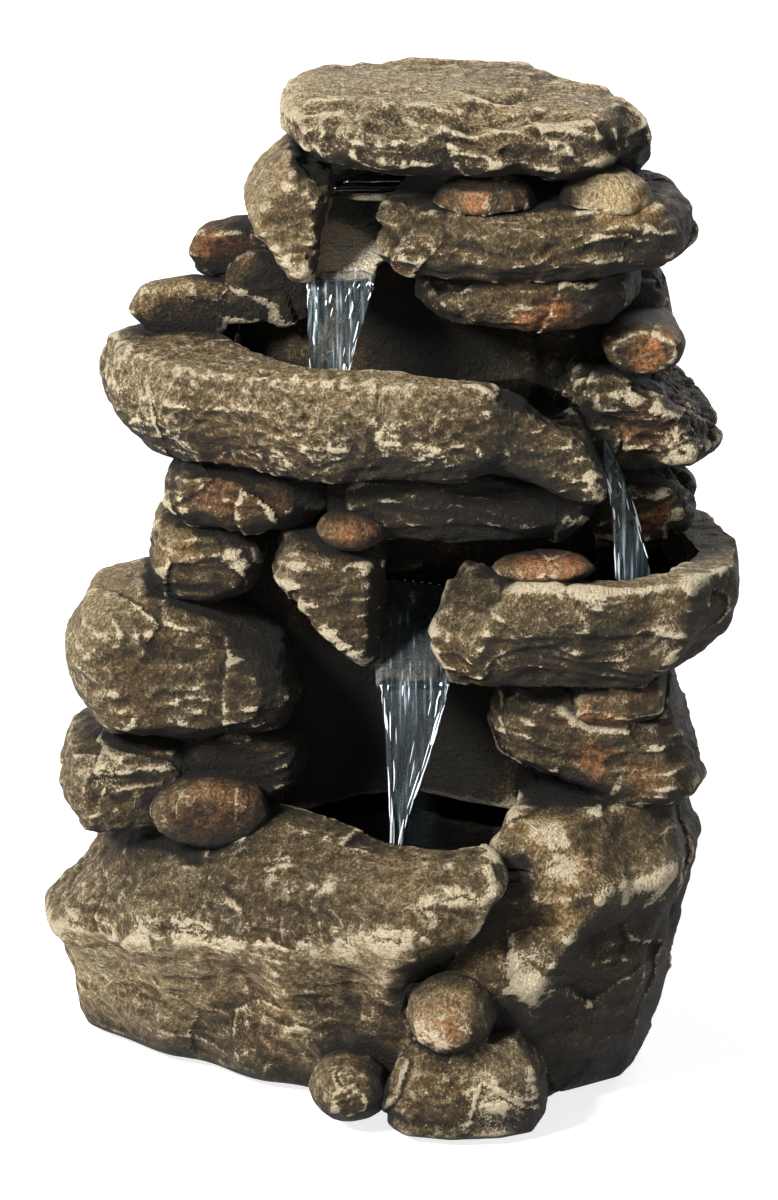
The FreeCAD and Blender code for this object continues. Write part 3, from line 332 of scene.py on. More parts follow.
def rough_noise(points, scale, seed, layers):
    """Smooth noise with finer layers added, each half as large and half as strong."""
    total = np.zeros(len(points))
    for k in range(layers):
        total += soft_noise(points, scale / 2 ** k, seed + 31 * k) / 2 ** k
    return total / 1.5


def facets(points, scale, seed):
    """Broken faces: how far each point stands out on its own leaning facet."""
    at = points / scale + FAR
    low = np.floor(at)
    nearest = np.full(len(points), 9.0)
    lean = np.zeros(len(points))
    for step in NEIGHBOURS:
        cell = low + step
        middle = np.stack([scramble(cell, seed + k) for k in range(3)], axis=1)
        turn = np.stack([scramble(cell, seed + 3 + k) - 0.5 for k in range(3)], axis=1)
        away = at - cell - middle
        distance = np.linalg.norm(away, axis=1)
        closer = distance < nearest
        lean = np.where(closer, 2 * (away * turn).sum(axis=1), lean)
        nearest = np.where(closer, distance, nearest)
    return lean


def ease(value, low, high):
    """0 below low, 1 above high and smooth between."""
    share = np.clip((value - low) / (high - low), 0, 1)
    return share * share * (3 - 2 * share)


def relax(points, edges, rounds, weight=0.5):
    """Each row of values drawn towards the middle of its neighbours, several times."""
    one, other = edges[:, 0], edges[:, 1]
    count = len(points)
    share = np.bincount(one, minlength=count) + np.bincount(other, minlength=count)
    share = np.maximum(share, 1)
    points = points.copy()
    for _ in range(rounds):
        for axis in range(points.shape[1]):
            line = points[:, axis]
            total = np.bincount(one, line[other], count) + np.bincount(other, line[one], count)
            points[:, axis] = line + weight * (total / share - line)
    return points


def normals_of(mesh):
    """The mesh's point normals as an array."""
    flat = np.empty(len(mesh.vertices) * 3)
    mesh.vertex_normals.foreach_get("vector", flat)
    return flat.reshape(-1, 3)


def points_of(mesh):
    """The mesh's points in millimetres."""
    flat = np.empty(len(mesh.vertices) * 3)
    mesh.vertices.foreach_get("co", flat)
    return flat.reshape(-1, 3) / MM


def set_points(mesh, points):
    """Moves the mesh's points to these, in millimetres."""
    mesh.vertices.foreach_set("co", (points * MM).astype(np.float32).ravel())
    mesh.update()


def set_values(mesh, name, values):
    """Keeps one number a point under a name that the materials read."""
    attribute = mesh.attributes.new(name, "FLOAT", "POINT")
    attribute.data.foreach_set("value", np.clip(values, 0, 1).astype(np.float32))


def add_object(name, mesh):
    """A new object of the scene with that mesh, shaded smooth."""
    piece = bpy.data.objects.new(name, mesh)
    bpy.context.scene.collection.objects.link(piece)
    mesh.shade_smooth()
    return piece


def merged_copy(nodes):
    """A copy of some nodes' meshes with their loose triangles joined; several are grown into each other."""
    shape = bmesh.new()
    for node in nodes:
        shape.from_mesh(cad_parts[node].data)
    bmesh.ops.remove_doubles(shape, verts=shape.verts, dist=2e-5)
    if len(nodes) > 1:
        shape.normal_update()
        for vertex in shape.verts:
            vertex.co += vertex.normal * 0.5 * MM
    mesh = bpy.data.meshes.new(nodes[0] + "_stone")
    shape.to_mesh(mesh)
    shape.free()
    return mesh


def remeshed(node, voxel):
    """A new object of even small squares over a node's shape."""
    piece = add_object(node + "_stone", merged_copy([node, *JOINED.get(node, [])]))
    change = piece.modifiers.new("even", "REMESH")
    change.mode = "VOXEL"
    change.voxel_size = voxel * MM
    graph = bpy.context.evaluated_depsgraph_get()
    even = bpy.data.meshes.new_from_object(piece.evaluated_get(graph))
    rough = piece.data
    piece.modifiers.clear()
    piece.data = even
    bpy.data.meshes.remove(rough)
    even.name = node + "_stone"
    even.materials.clear()
    return piece


# What is made once and used again: the stones, their search tree and the finishes
KEPT = {}
# Ways to look from a surface for what stands near it, spread evenly, and how far, in metres
RAY_COUNT = 22
GOLDEN_ANGLE = 2.39996
REACH = 0.042
RAYS = []
for k in range(RAY_COUNT):
    lift = 1 - 2 * (k + 0.5) / RAY_COUNT
    spread = math.sqrt(1 - lift * lift)
    RAYS.append(Vector((spread * math.cos(GOLDEN_ANGLE * k), spread * math.sin(GOLDEN_ANGLE * k), lift)))
# Points of one cell that face the same way share their depth, in millimetres
HOLLOW_CELL = 3
# How far a ray starts from its surface, and how far past a face that it leaves by, in metres
CLEAR = 0.002
PAST = 0.0002


def stone_tree():
    """Every packed stone as one shape to search, for what stands near a surface."""
    if "tree" not in KEPT:
        corners, faces = [], []
        for node in STONES:
            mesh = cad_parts[node].data
            start = len(corners)
            corners += [vertex.co.copy() for vertex in mesh.vertices]
            faces += [[start + k for k in polygon.vertices] for polygon in mesh.polygons]
        KEPT["tree"] = BVHTree.FromPolygons(corners, faces)
    return KEPT["tree"]


def hollows(points, out):
    """How deep each point lies among the stones and the floor, from 0 in the open to 1 deep in a crevice;
    it becomes painted shade and dark wash.
    """
    tree = stone_tree()
    side = (out > 0) @ np.array([1, 2, 4])
    keys = np.column_stack([np.floor(points / HOLLOW_CELL), side]).astype(np.int64)
    _, first, back = np.unique(keys, axis=0, return_index=True, return_inverse=True)
    depth = np.zeros(len(first))
    for k, vertex in enumerate(first):
        normal = Vector(out[vertex])
        start = Vector(points[vertex]) * MM + normal * CLEAR
        seen = shut = 0.0
        for ray in RAYS:
            share = normal.dot(ray)
            if share < 0.1:
                continue
            seen += share
            place, facing, _, away = tree.ray_cast(start, ray, REACH)
            if away is not None and facing.dot(ray) > 0:
                _, _, _, away = tree.ray_cast(place + ray * PAST, ray, REACH)
            if away is not None:
                shut += share * (1 - away / REACH)
            elif ray.z < -0.05 and -start.z / ray.z < REACH:
                shut += 0.7 * share * (1 + start.z / ray.z / REACH)
        depth[k] = shut / seen
    return depth[back.ravel()]


def still(points):
    """0 round the door, grommet, drain and feet, where the wall stays as cast, and 1 away from them."""
    x, y, z = points.T
    ahead = ease(-y, -70, -60)
    door = np.maximum(np.abs(x) - DOOR_HALF_WIDTH, np.abs(z - DOOR_HEIGHT) - DOOR_HALF_HEIGHT)
    mask = np.maximum(ease(door, 3, 14), ahead)
    for across, height, radius in ROUND_FITTINGS:
        mask = mask * np.maximum(ease(np.hypot(x - across, z - height) - radius, 1, 10), ahead)
    return mask * ease(z, 3.4, 9)


def outward(points, out):
    """1 on the outer face of the back, -1 on its inner face and 0 at the front."""
    away = points[:, :2] - (0, 30)
    away = away / np.maximum(np.linalg.norm(away, axis=1), 1)[:, None]
    facing = (out[:, :2] * away).sum(axis=1)
    return (ease(facing, 0.3, 0.7) - ease(-facing, 0.3, 0.7)) * ease(points[:, 1], 30, 45)


def held_in(points):
    """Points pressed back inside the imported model's box, the relief near it flattened but not cut."""
    low, high = (np.array(corner) / MM for corner in CAD_BOX)
    band = 3.0
    over = np.maximum(points - (high - band), 0)
    points = np.where(over > 0, high - band * np.exp(-over / band), points)
    under = np.maximum(low + band - points, 0)
    return np.where(under > 0, low + band * np.exp(-under / band), points)


def edges_of(mesh):
    """The mesh's edges as pairs of point numbers."""
    flat = np.empty(len(mesh.edges) * 2, np.int32)
    mesh.edges.foreach_get("vertices", flat)
    return flat.reshape(-1, 2)


def drawn(points, grabs):
    """Points carried along by a few soft pulls."""
    for x, y, z, reach, *move in grabs:
        near = 1 - ease(np.linalg.norm(points - (x, y, z), axis=1), 0, reach)
        points = points + near[:, None] * np.array(move)
    return points


def carve(node):
    """One stone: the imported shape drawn, rounded, broken into facets, bedded, wrinkled and painted."""
    kind, slot, changes = STONES[node]
    look = {**KINDS[kind], **changes}
    seed = 100 + 61 * list(STONES).index(node)
    piece = remeshed(node, look["voxel"])
    mesh = piece.data
    edges = edges_of(mesh)
    points = relax(drawn(points_of(mesh), GRABS.get(node, [])), edges, look["wear"])
    for x, y, z, reach in WORN.get(node, []):
        near = 1 - ease(np.linalg.norm(points - (x, y, z), axis=1), 0.4 * reach, reach)
        points = points + near[:, None] * (relax(points, edges, 90) - points)
    set_points(mesh, points)
    out = normals_of(mesh)
    bent = points + 6 * np.stack([rough_noise(points, 26, seed + k, 2) for k in range(3)], axis=1)
    lean = facets(bent, look["facet_size"], seed + 4)
    height = 0.3 + look["lump"] * rough_noise(points, 52, seed + 20, 2)
    height += look["facet"] * np.clip(lean, -1.2, 1.2)
    layers = 3.2 * rough_noise(bent / look["bed_size"], 1.0, seed + 22, 3)
    height += look["bed"] * (np.floor(layers) + ease(layers - np.floor(layers), 0.3, 0.62)) / 3.2
    height += look["ripple"] * (1 - 2 * np.abs(soft_noise(bent, look["ripple_size"], seed + 24)))
    fold = rough_noise(bent / look["wrinkle_size"], 1.0, seed + 26, 2)
    height += look["wrinkle"] * (1 - 2.6 * np.abs(fold))
    height += look["grain"] * rough_noise(points, 4, seed + 28, 2)
    relief = np.clip(height, -DEEPEST, look.get("most", TALLEST))
    if "back" in look:
        side = outward(points, out)
        deep = np.clip(1.6 * height - 2.0, -BACK_DEEPEST, 0)
        relief = (1 - np.abs(side)) * relief + np.maximum(side, 0) * deep
    height = relief * still(points)
    points = held_in(relax(points + out * height[:, None], edges, 1, 0.35))
    set_points(mesh, points)
    paint(mesh, points, edges, look, seed)
    KEPT[node] = piece
    mesh.materials.append(finishes()[slot])
    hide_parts(node, *JOINED.get(node, []))
    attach(piece, ROOT)


def paint(mesh, points, edges, look, seed):
    """The dry-brushed edges, painted light and shade by the way each face looks, the dark wash and painted
    shade of the hollows, and coloured washes, kept as values on the stone's points.
    """
    out = normals_of(mesh)
    fine = ((points - relax(points, edges, 3)) * out).sum(axis=1)
    broad = ((points - relax(points, edges, 30)) * out).sum(axis=1)
    fine = np.clip((fine - fine.mean()) / (fine.std() + 1e-6), -2, 3)
    broad = np.clip((broad - broad.mean()) / (broad.std() + 0.1), -2, 3)
    # Painted shade and dark wash in the hollows between the stones and near the floor
    hollow = look.get("shade", 1.0) * relax(hollows(points, out)[:, None], edges, 4)[:, 0]
    patch = rough_noise(points, 52, seed + 40, 3)
    brush_and_painted_light = 0.31 + look["brush_and_painted_light"] + 0.02 * fine + 0.05 * np.minimum(fine, 0) + 0.045 * broad + 0.15 * patch
    # Painted light and shade: paler on faces that look towards the light, darker on those that look away
    lit = out @ LIT_SIDE
    brush_and_painted_light += 0.32 * lit
    # Painted light or shade on the faces that look down or forward
    under = look.get("under", 0) * ease(-out[:, 2], -0.1, 0.5)
    brush_and_painted_light += under + look.get("front", 0) * ease(-out[:, 1], 0.45, 0.85)
    # Painted shade on the spillways' faces that look forward or down, under their lips
    if "shade" in look:
        brush_and_painted_light -= 0.8 * np.maximum(ease(-out[:, 1], 0.6, 0.85), ease(-out[:, 2], -0.2, 0.2))
    ragged = 0.5 * rough_noise(points, 9, seed + 44, 3)
    low, high = points.min(axis=0), points.max(axis=0)
    washes = {name: np.zeros(len(points)) for name in WASHES}
    for name, places in WASHES.items():
        if name == "slate" and "shade" not in look:
            continue
        for x, y, z, reach, depth in places:
            middle = np.array((x, y, z))
            if (middle < low - reach).any() or (middle > high + reach).any():
                continue
            away = np.linalg.norm(points - middle, axis=1) / reach + (ragged if name != "dark" else 0)
            washes[name] = np.maximum(washes[name], depth * ease(-away, -1, -0.3))
    # The dark washes are painted shade, taken into the hollows' shade
    hollow = np.maximum(hollow, 0.6 * washes.pop("dark"))
    brush_and_painted_light = brush_and_painted_light + 0.2 * washes["cream"] + 0.12 * washes["copper"] + 0.16 * washes["ochre"]
    # The paint level, darkened by the painted shade of the hollows
    set_values(mesh, "brush_and_painted_light", brush_and_painted_light - 0.55 * hollow)
    washes["cream"] *= 0.35 + 0.95 * ease(fine, -0.4, 1.4)
    raised = 0.42 * ease(broad, 0.5, 1.9) + 0.2 * ease(fine, 0.8, 2.4)
    # Painted highlight: a few more cream flecks on faces that look towards the light
    washes["cream"] += look.get("cream", 0) + 0.06 * lit + raised
    set_values(mesh, "hollow", hollow)
    for name, strength in washes.items():
        set_values(mesh, name, strength)


def srgb(red, green, blue):
    """A colour given from 0 to 255 as the light values that shaders use."""
    shares = [value / 255 for value in (red, green, blue)]
    return [s / 12.92 if s <= 0.04045 else ((s + 0.055) / 1.055) ** 2.4 for s in shares]


def fill(tree, made, sockets):
    """Fills a shader node's sockets with values, or joins them to other sockets."""
    for key, value in sockets.items():
        if isinstance(value, bpy.types.NodeSocket):
            tree.links.new(value, made.inputs[key])
        else:
            made.inputs[key].default_value = value


def make(tree, kind, sockets=None, **settings):
    """Adds one shader node, with its settings and with its sockets filled or joined."""
    made = tree.nodes.new("ShaderNode" + kind)
    for key, value in settings.items():
        setattr(made, key, value)
    fill(tree, made, sockets or {})
    return made


def math_of(tree, operation, *terms, clamp=False):
    """The result of one sum on numbers or sockets."""
    return make(tree, "Math", dict(enumerate(terms)), operation=operation, use_clamp=clamp).outputs[0]


def times(tree, one, other, clamp=False):
    """Two numbers or sockets multiplied."""
    return math_of(tree, "MULTIPLY", one, other, clamp=clamp)


def summed(tree, start, *terms):
    """Sockets added to a start, each times its share."""
    for socket, share in terms:
        start = math_of(tree, "MULTIPLY_ADD", socket, share, start)
    return start


def bumped(tree, height, strength, distance):
    """The surface's slope where a height stands out by at most that distance, in metres."""
    return make(tree, "Bump", {"Height": height, "Strength": strength, "Distance": distance}).outputs[0]


def mixed(tree, factor, one, other, blend="MIX"):
    """Two colours mixed by a factor."""
    sockets = {0: factor, 6: one, 7: other}
    return make(tree, "Mix", sockets, data_type="RGBA", blend_type=blend).outputs[2]


def stepped(tree, factor, stops):
    """A colour ramp through (place, colour) stops."""
    made = make(tree, "ValToRGB", {0: factor})
    ramp = made.color_ramp
    while len(ramp.elements) < len(stops):
        ramp.elements.new(0.5)
    for element, (place, colour) in zip(ramp.elements, stops):
        element.position = place
        element.color = (*colour, 1)
    return made.outputs[0]


def grey(tree, factor, low, high):
    """A factor stretched so that low gives 0 and high gives 1."""
    return make(tree, "MapRange", {"Value": factor, "From Min": low, "From Max": high}).outputs[0]


def noise(tree, place, scale, detail=3.0, rough=0.6, bend=0.0):
    """A noise of that many lumps to the metre."""
    sockets = {"Vector": place, "Scale": scale, "Detail": detail, "Roughness": rough, "Distortion": bend}
    return make(tree, "TexNoise", sockets).outputs[0]


def value_of(tree, name):
    """One of the values that the carving kept on the points."""
    return make(tree, "Attribute", attribute_name=name).outputs["Fac"]


def new_finish(name):
    """An empty material with its shader and the place on the piece."""
    finish = bpy.data.materials.new(name)
    finish.use_nodes = True
    tree = finish.node_tree
    tree.nodes.clear()
    shader = make(tree, "BsdfPrincipled")
    out = make(tree, "OutputMaterial")
    tree.links.new(shader.outputs[0], out.inputs[0])
    place = make(tree, "TexCoord").outputs["Object"]
    return finish, tree, shader, place


def rock_finish(name, shift=0.0, copper=0.0, gloss=0.72, wet=False):
    """Cast stone: an umber wash, tan and cream dry-brushed over what stands out, copper and ochre stains,
    and the painted light and shade that the points carry.

    Wet stone has no dry-brushed flecks, and sand in place of the tan and cream."""
    colours = bpy.context.scene.fountain_colours
    finish, tree, shader, place = new_finish(name)
    brush_and_painted_light = value_of(tree, "brush_and_painted_light")
    hollow = value_of(tree, "hollow")
    grain = noise(tree, place, 820, 5, 0.7)
    speck = noise(tree, place, 250, 5, 0.68)
    dust = noise(tree, place, 1500, 4, 0.75)
    pit = noise(tree, place, 640, 2, 0.6)
    broad = noise(tree, place, 30, 3, 0.55)
    fold = noise(tree, place, 95, 3, 0.5, 0.9)
    fold = math_of(tree, "ABSOLUTE", math_of(tree, "SUBTRACT", fold, 0.5))
    crinkle = times(tree, grey(tree, fold, 0.028, 0.006), grey(tree, speck, 0.46, 0.54))
    crinkle = times(tree, crinkle, grey(tree, noise(tree, place, 44, 2, 0.5), 0.42, 0.54))
    worm = math_of(tree, "ABSOLUTE", math_of(tree, "SUBTRACT", noise(tree, place, 270, 2, 0.5, 0.8), 0.5))
    worm = times(tree, grey(tree, worm, 0.05, 0.012), grey(tree, brush_and_painted_light, 0.42, 0.66))
    worm = times(tree, worm, grey(tree, grain, 0.42, 0.56))
    level = summed(tree, shift - 0.6, (speck, 0.4), (grain, 0.8))
    level = math_of(tree, "ADD", level, brush_and_painted_light, clamp=True)
    stone = stepped(tree, level, [
        (0.02, colours.joint_and_shade), (0.2, colours.umber), (0.4, colours.brown),
        (0.62, colours.sand if wet else colours.tan), (0.86, colours.pale if wet else colours.cream)])
    warmth = grey(tree, broad, 0.40, 0.66)
    warm = mixed(tree, 1.0, stone, (1.14, 0.98, 0.82, 1), "MULTIPLY")
    stone = mixed(tree, warmth, stone, warm)
    stain = math_of(tree, "ADD", value_of(tree, "copper"), copper)
    stain = times(tree, stain, grey(tree, speck, 0.37, 0.51), clamp=True)
    red = stepped(tree, level, [(0.1, colours.rust), (0.42, colours.copper), (0.85, colours.pink)])
    stone = mixed(tree, stain, stone, red)
    gold = stepped(tree, level, [(0.1, colours.umber), (0.45, colours.ochre), (0.85, colours.cream)])
    gilt = times(tree, value_of(tree, "ochre"), grey(tree, grain, 0.3, 0.6))
    stone = mixed(tree, gilt, stone, gold)
    blue = stepped(tree, level, [(0.1, colours.wet), (0.5, colours.slate), (0.9, colours.mist)])
    stone = mixed(tree, value_of(tree, "slate"), stone, blue)
    dry = math_of(tree, "SUBTRACT", 0.0 if wet else 1.0, value_of(tree, "slate"), clamp=True)
    fleck = times(tree, crinkle, grey(tree, brush_and_painted_light, 0.22, 0.55))
    fleck = math_of(tree, "MAXIMUM", fleck, times(tree, worm, 0.75))
    nub = times(tree, grey(tree, pit, 0.58, 0.68), grey(tree, brush_and_painted_light, 0.16, 0.5))
    fleck = math_of(tree, "MAXIMUM", fleck, times(tree, nub, 0.3))
    edge = summed(tree, value_of(tree, "cream"), (brush_and_painted_light, 0.25), (dust, 1.1), (grain, 0.9), (speck, 0.5))
    edge = times(tree, grey(tree, edge, 1.56, 1.73), 0.95)
    fleck = times(tree, math_of(tree, "MAXIMUM", fleck, edge), dry, clamp=True)
    stone = mixed(tree, fleck, stone, mixed(tree, grain, (*colours.cream, 1), (*colours.pale, 1)))
    # Painted shade in the low pits of the grain
    sunk = times(tree, grey(tree, pit, 0.44, 0.33), 0.4)
    stone = mixed(tree, sunk, stone, (*colours.umber, 1))
    # Painted shade: the near-black colour of the joints mixed in where the points lie deep in hollows or
    # under dark washes
    dark = times(tree, grey(tree, hollow, 0.03, 0.36), 0.93)
    stone = mixed(tree, dark, stone, (*colours.joint_and_shade, 1))
    rise = summed(
        tree, times(tree, worm, 0.14), (crinkle, 0.2), (speck, 0.6), (grain, 0.9), (pit, 0.5), (fold, -0.5))
    fill(tree, shader, {
        "Base Color": stone, "Roughness": summed(tree, gloss - 0.15, (speck, 0.3)),
        "Normal": bumped(tree, rise, 1.0, 0.0075), "Specular IOR Level": 0.22})
    return finish


def pool_finish():
    """Clear water, a little duller in streaks."""
    finish, tree, shader, place = new_finish("still_water")
    streak = noise(tree, place, 160, 3, 0.6)
    clear = (0.30, 0.37, 0.38)
    deep = [0.82 * value for value in clear]
    fill(tree, shader, {
        "Base Color": stepped(tree, streak, [(0.35, deep), (0.65, clear)]),
        "Roughness": times(tree, streak, 0.06), "IOR": WATER_IOR, "Transmission Weight": 1.0})
    return finish


def sheet_finish():
    """Falling water: a thin dark film with paler streaks down it, which shows what is behind."""
    finish, tree, shader, place = new_finish("falling_water")
    drawn_out = make(tree, "VectorMath", {0: place, 1: (1, 0.1, 0.06)}, operation="MULTIPLY").outputs[0]
    streak = noise(tree, drawn_out, 700, 2, 0.5)
    shades = [(0.42, srgb(34, 42, 44)), (0.6, srgb(68, 80, 84)), (0.7, srgb(170, 184, 190))]
    fill(tree, shader, {
        "Base Color": stepped(tree, streak, shades), "Roughness": 0.12, "IOR": WATER_IOR, "Alpha": 0.34})
    return finish


def foam_finish():
    """Broken white water, half clear."""
    finish, tree, shader, place = new_finish("broken_water")
    froth = noise(tree, place, 1400, 3, 0.6)
    fill(tree, shader, {
        "Base Color": stepped(tree, froth, [(0.3, (0.66, 0.74, 0.8)), (0.62, (0.93, 0.96, 0.98))]),
        "Roughness": times(tree, froth, 0.4), "IOR": WATER_IOR, "Transmission Weight": 0.25})
    return finish


def moulded_finish(name, low, high, rough, grain=0.00012):
    """Moulded plastic or rubber: a fine eroded grain, faint flow marks and a soft sheen."""
    finish, tree, shader, place = new_finish(name)
    cloud = noise(tree, place, 70, 3, 0.55)
    pits = noise(tree, place, 2600, 2, 0.6)
    shade = summed(tree, times(tree, cloud, 0.6), (pits, 0.5))
    fill(tree, shader, {
        "Base Color": stepped(tree, shade, [(0.38, srgb(*low)), (0.72, srgb(*high))]),
        "Roughness": summed(tree, rough - 0.12, (pits, 0.25)), "Normal": bumped(tree, pits, 0.6, grain)})
    return finish


def steel_finish():
    """Drawn stainless steel, its marks along the wire or shaft."""
    finish, tree, shader, place = new_finish("drawn_steel")
    stretch = make(tree, "Mapping", {"Vector": place, "Scale": (1, 0.08, 1)}).outputs[0]
    marks = noise(tree, stretch, 2200, 4, 0.65)
    fill(tree, shader, {
        "Base Color": stepped(tree, marks, [(0.35, srgb(150, 152, 154)), (0.65, srgb(196, 197, 198))]),
        "Roughness": summed(tree, 0.16, (marks, 0.3)), "Metallic": 1.0,
        "Normal": bumped(tree, marks, 0.4, 0.00004)})
    return finish


def vinyl_finish():
    """Milky flexible tube, a little cloudy."""
    finish, tree, shader, place = new_finish("milky_vinyl")
    cloud = noise(tree, place, 240, 4, 0.6)
    fill(tree, shader, {
        "Base Color": stepped(tree, cloud, [(0.3, srgb(176, 184, 182)), (0.7, srgb(210, 216, 213))]),
        "Roughness": summed(tree, 0.12, (cloud, 0.25)), "Transmission Weight": 0.45, "IOR": 1.46})
    return finish


def finishes():
    """The fountain's materials by slot or kind of water, made once."""
    if "finishes" not in KEPT:
        KEPT["finishes"] = {
            "rock": rock_finish("brushed_rock"),
            "rock_copper": rock_finish("copper_rock", copper=0.09),
            "rock_chute": rock_finish("wet_rock", shift=-0.04, gloss=0.42, wet=True),
            "rock_shell": rock_finish("cliff_rock", shift=-0.04),
            "water_sheet": sheet_finish(),
            "water_pool": pool_finish(),
            "water_foam": foam_finish(),
            "pump_plastic": moulded_finish("black_plastic", (18, 18, 19), (34, 34, 35), 0.5),
            "slider_plastic": moulded_finish("grey_plastic", (62, 64, 66), (84, 86, 88), 0.48),
            "rotor_plastic": moulded_finish("white_plastic", (204, 203, 196), (226, 225, 219), 0.42),
            "bearing_plastic": moulded_finish("bearing_plastic", (118, 118, 112), (142, 141, 136), 0.5),
            "door_plastic": moulded_finish("door_plastic", (34, 30, 24), (58, 51, 40), 0.62, 0.0004),
            "rubber": moulded_finish("moulded_rubber", (20, 20, 20), (40, 39, 38), 0.78, 0.0002),
            "steel": steel_finish(),
            "vinyl": vinyl_finish(),
        }
    return KEPT["finishes"]


def along(line, share):
    """A place on the smooth line through some points, from 0 at its head to 1 at its foot."""
    at = min(max(share, 0.0), 1.0) * (len(line) - 1)
    k = min(int(at), len(line) - 2)
    part = at - k
    near = [np.array(line[min(max(k + step, 0), len(line) - 1)]) for step in (-1, 0, 1, 2)]
    straight = 2 * near[1] + (near[2] - near[0]) * part
    bend = (2 * near[0] - 5 * near[1] + 4 * near[2] - near[3]) * part ** 2
    return 0.5 * (straight + bend + (3 * near[1] - near[0] - 3 * near[2] + near[3]) * part ** 3)


def finish_water(shape, name, wall, finish):
    """Gives open sheets of water their thickness and makes them a piece of the fountain."""
    if wall:
        bmesh.ops.solidify(shape, geom=shape.faces[:], thickness=wall * MM)
    bmesh.ops.recalc_face_normals(shape, faces=shape.faces)
    mesh = bpy.data.meshes.new(name)
    shape.to_mesh(mesh)
    shape.free()
    mesh.materials.append(finishes()[finish])
    piece = add_object(name, mesh)
    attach(piece, ROOT)


def laid(place, bed):
    """A point of a film of water brought onto the carved stone that it runs over."""
    hit, _, _, _ = bed.ray_cast(place + Vector((0, 0, 14 * MM)), Vector((0, 0, -1)), 34 * MM)
    return place if hit is None else hit + Vector((0, 0, 0.8 * MM))


def fall_sheet(name, bed, lip):
    """One fall: a thin rippled sheet laid on its bed as far as the lip, and then falling free."""
    line = FALLS[name]
    stone = BVHTree.FromObject(KEPT[bed], bpy.context.evaluated_depsgraph_get())
    shape = bmesh.new()
    bmesh.ops.create_grid(shape, x_segments=26, y_segments=130, size=1)
    for vertex in shape.verts:
        side, share = vertex.co.x, (1 - vertex.co.y) / 2
        if lip == 1:
            share *= 0.78 + 0.2 * side + 0.1 * side * side
        x, y, z, half = along(line, share)
        ripple = lumps.noise(Vector((side * half / 2.2, share * 9, z / 60)))
        ripple += 0.2 * lumps.noise(Vector((side * half / 0.9, share * 5, 7.3)))
        rope = 0.8 * abs(side) ** 6
        edge = 1 + 0.07 * lumps.noise(Vector((math.copysign(3, side), share * 14, 1.7)))
        vertex.co = Vector((x + side * half * edge, y - 0.5 * ripple - rope, z + 0.3 * ripple)) * MM
        if share < lip:
            vertex.co = laid(vertex.co, stone)
    finish_water(shape, name, 0.9, "water_pool" if lip == 1 else "water_sheet")


def fall_strands(name, count, first):
    """The white threads of broken water along a fall, most of them near its edges."""
    line = FALLS[name]
    shape = bmesh.new()
    for k in range(count):
        turn = [float(value) for value in scramble(np.array([[k + 1, len(name), j] for j in range(5)]), 77)]
        side = math.copysign(1 - 0.9 * turn[0] ** 2.2, turn[1] - 0.5)
        start = first + (0.92 - first) * turn[2]
        stop = min(1.0, start + 0.03 + 0.09 * turn[3])
        wide = 0.1 + 0.34 * turn[4] ** 2
        made = bmesh.ops.create_grid(shape, x_segments=3, y_segments=26, size=1)
        for vertex in made["verts"]:
            share = start + (stop - start) * (1 - vertex.co.y) / 2
            x, y, z, half = along(line, share)
            thin = wide * math.sin(math.pi * min(max((1 - vertex.co.y) / 2, 0.02), 0.98)) ** 0.6
            sway = 0.5 * lumps.noise(Vector((k * 3.1, share * 16, 0.4)))
            across = x + side * half + sway + vertex.co.x * thin
            vertex.co = Vector((across, y - 1.5 - 0.3 * sway, z + 0.7)) * MM
    finish_water(shape, name + "_strands", 0.35, "water_foam")


def splash(name, count):
    """Drops and froth where a fall strikes its pool."""
    level, (x, y), _ = POOLS[name]
    shape = bmesh.new()
    for k in range(count):
        turn = [float(value) for value in scramble(np.array([[k + 5, len(name), j] for j in range(4)]), 91)]
        angle = math.tau * turn[0]
        away = 9 * turn[1] ** 0.7
        height = level + 0.2 + max(0.0, 7 * turn[2] ** 3 * (1 - away / 12))
        place = Vector((x + away * math.cos(angle), y + 0.7 * away * math.sin(angle), height)) * MM
        radius = (0.35 + 0.75 * turn[3] ** 2) * MM
        bmesh.ops.create_icosphere(shape, subdivisions=1, radius=radius, matrix=Matrix.Translation(place))
    finish_water(shape, name + "_splash", 0, "water_foam")


def inside(x, y, outline):
    """Whether a place on the plan lies in an outline."""
    count = False
    for (ax, ay), (bx, by) in zip(outline, outline[1:] + outline[:1]):
        if (ay > y) != (by > y) and x < ax + (y - ay) * (bx - ax) / (by - ay):
            count = not count
    return count


def pool_water(name):
    """One pool: a sheet of water to the rock all round, with rings where the fall strikes it."""
    level, (foot_x, foot_y), outline = POOLS[name]
    low = [min(p[k] for p in outline) for k in (0, 1)]
    high = [max(p[k] for p in outline) for k in (0, 1)]
    shape = bmesh.new()
    steps = [int((high[k] - low[k]) / 1.6) for k in (0, 1)]
    bmesh.ops.create_grid(shape, x_segments=steps[0], y_segments=steps[1], size=0.5)
    outside = []
    for vertex in shape.verts:
        x = low[0] + (vertex.co.x + 0.5) * (high[0] - low[0])
        y = low[1] + (vertex.co.y + 0.5) * (high[1] - low[1])
        away = math.hypot(x - foot_x, y - foot_y)
        rings = 0.4 * math.cos(away * 0.95) * math.exp(-away / 14)
        swell = 0.22 * lumps.noise(Vector((x / 8, y / 8, level)))
        swell += 0.1 * lumps.noise(Vector((x / 3, y / 3, level)))
        vertex.co = Vector((x, y, level + rings + swell)) * MM
        if not inside(x, y, outline):
            outside.append(vertex)
    bmesh.ops.delete(shape, geom=outside, context="VERTS")
    finish_water(shape, name, 1.5, "water_pool")


def tint(name, words, red, green, blue):
    """A colour that the user can change."""
    return bpy.props.FloatVectorProperty(
        name=name, description=words, subtype="COLOR", size=3, min=0, max=4, default=srgb(red, green, blue))


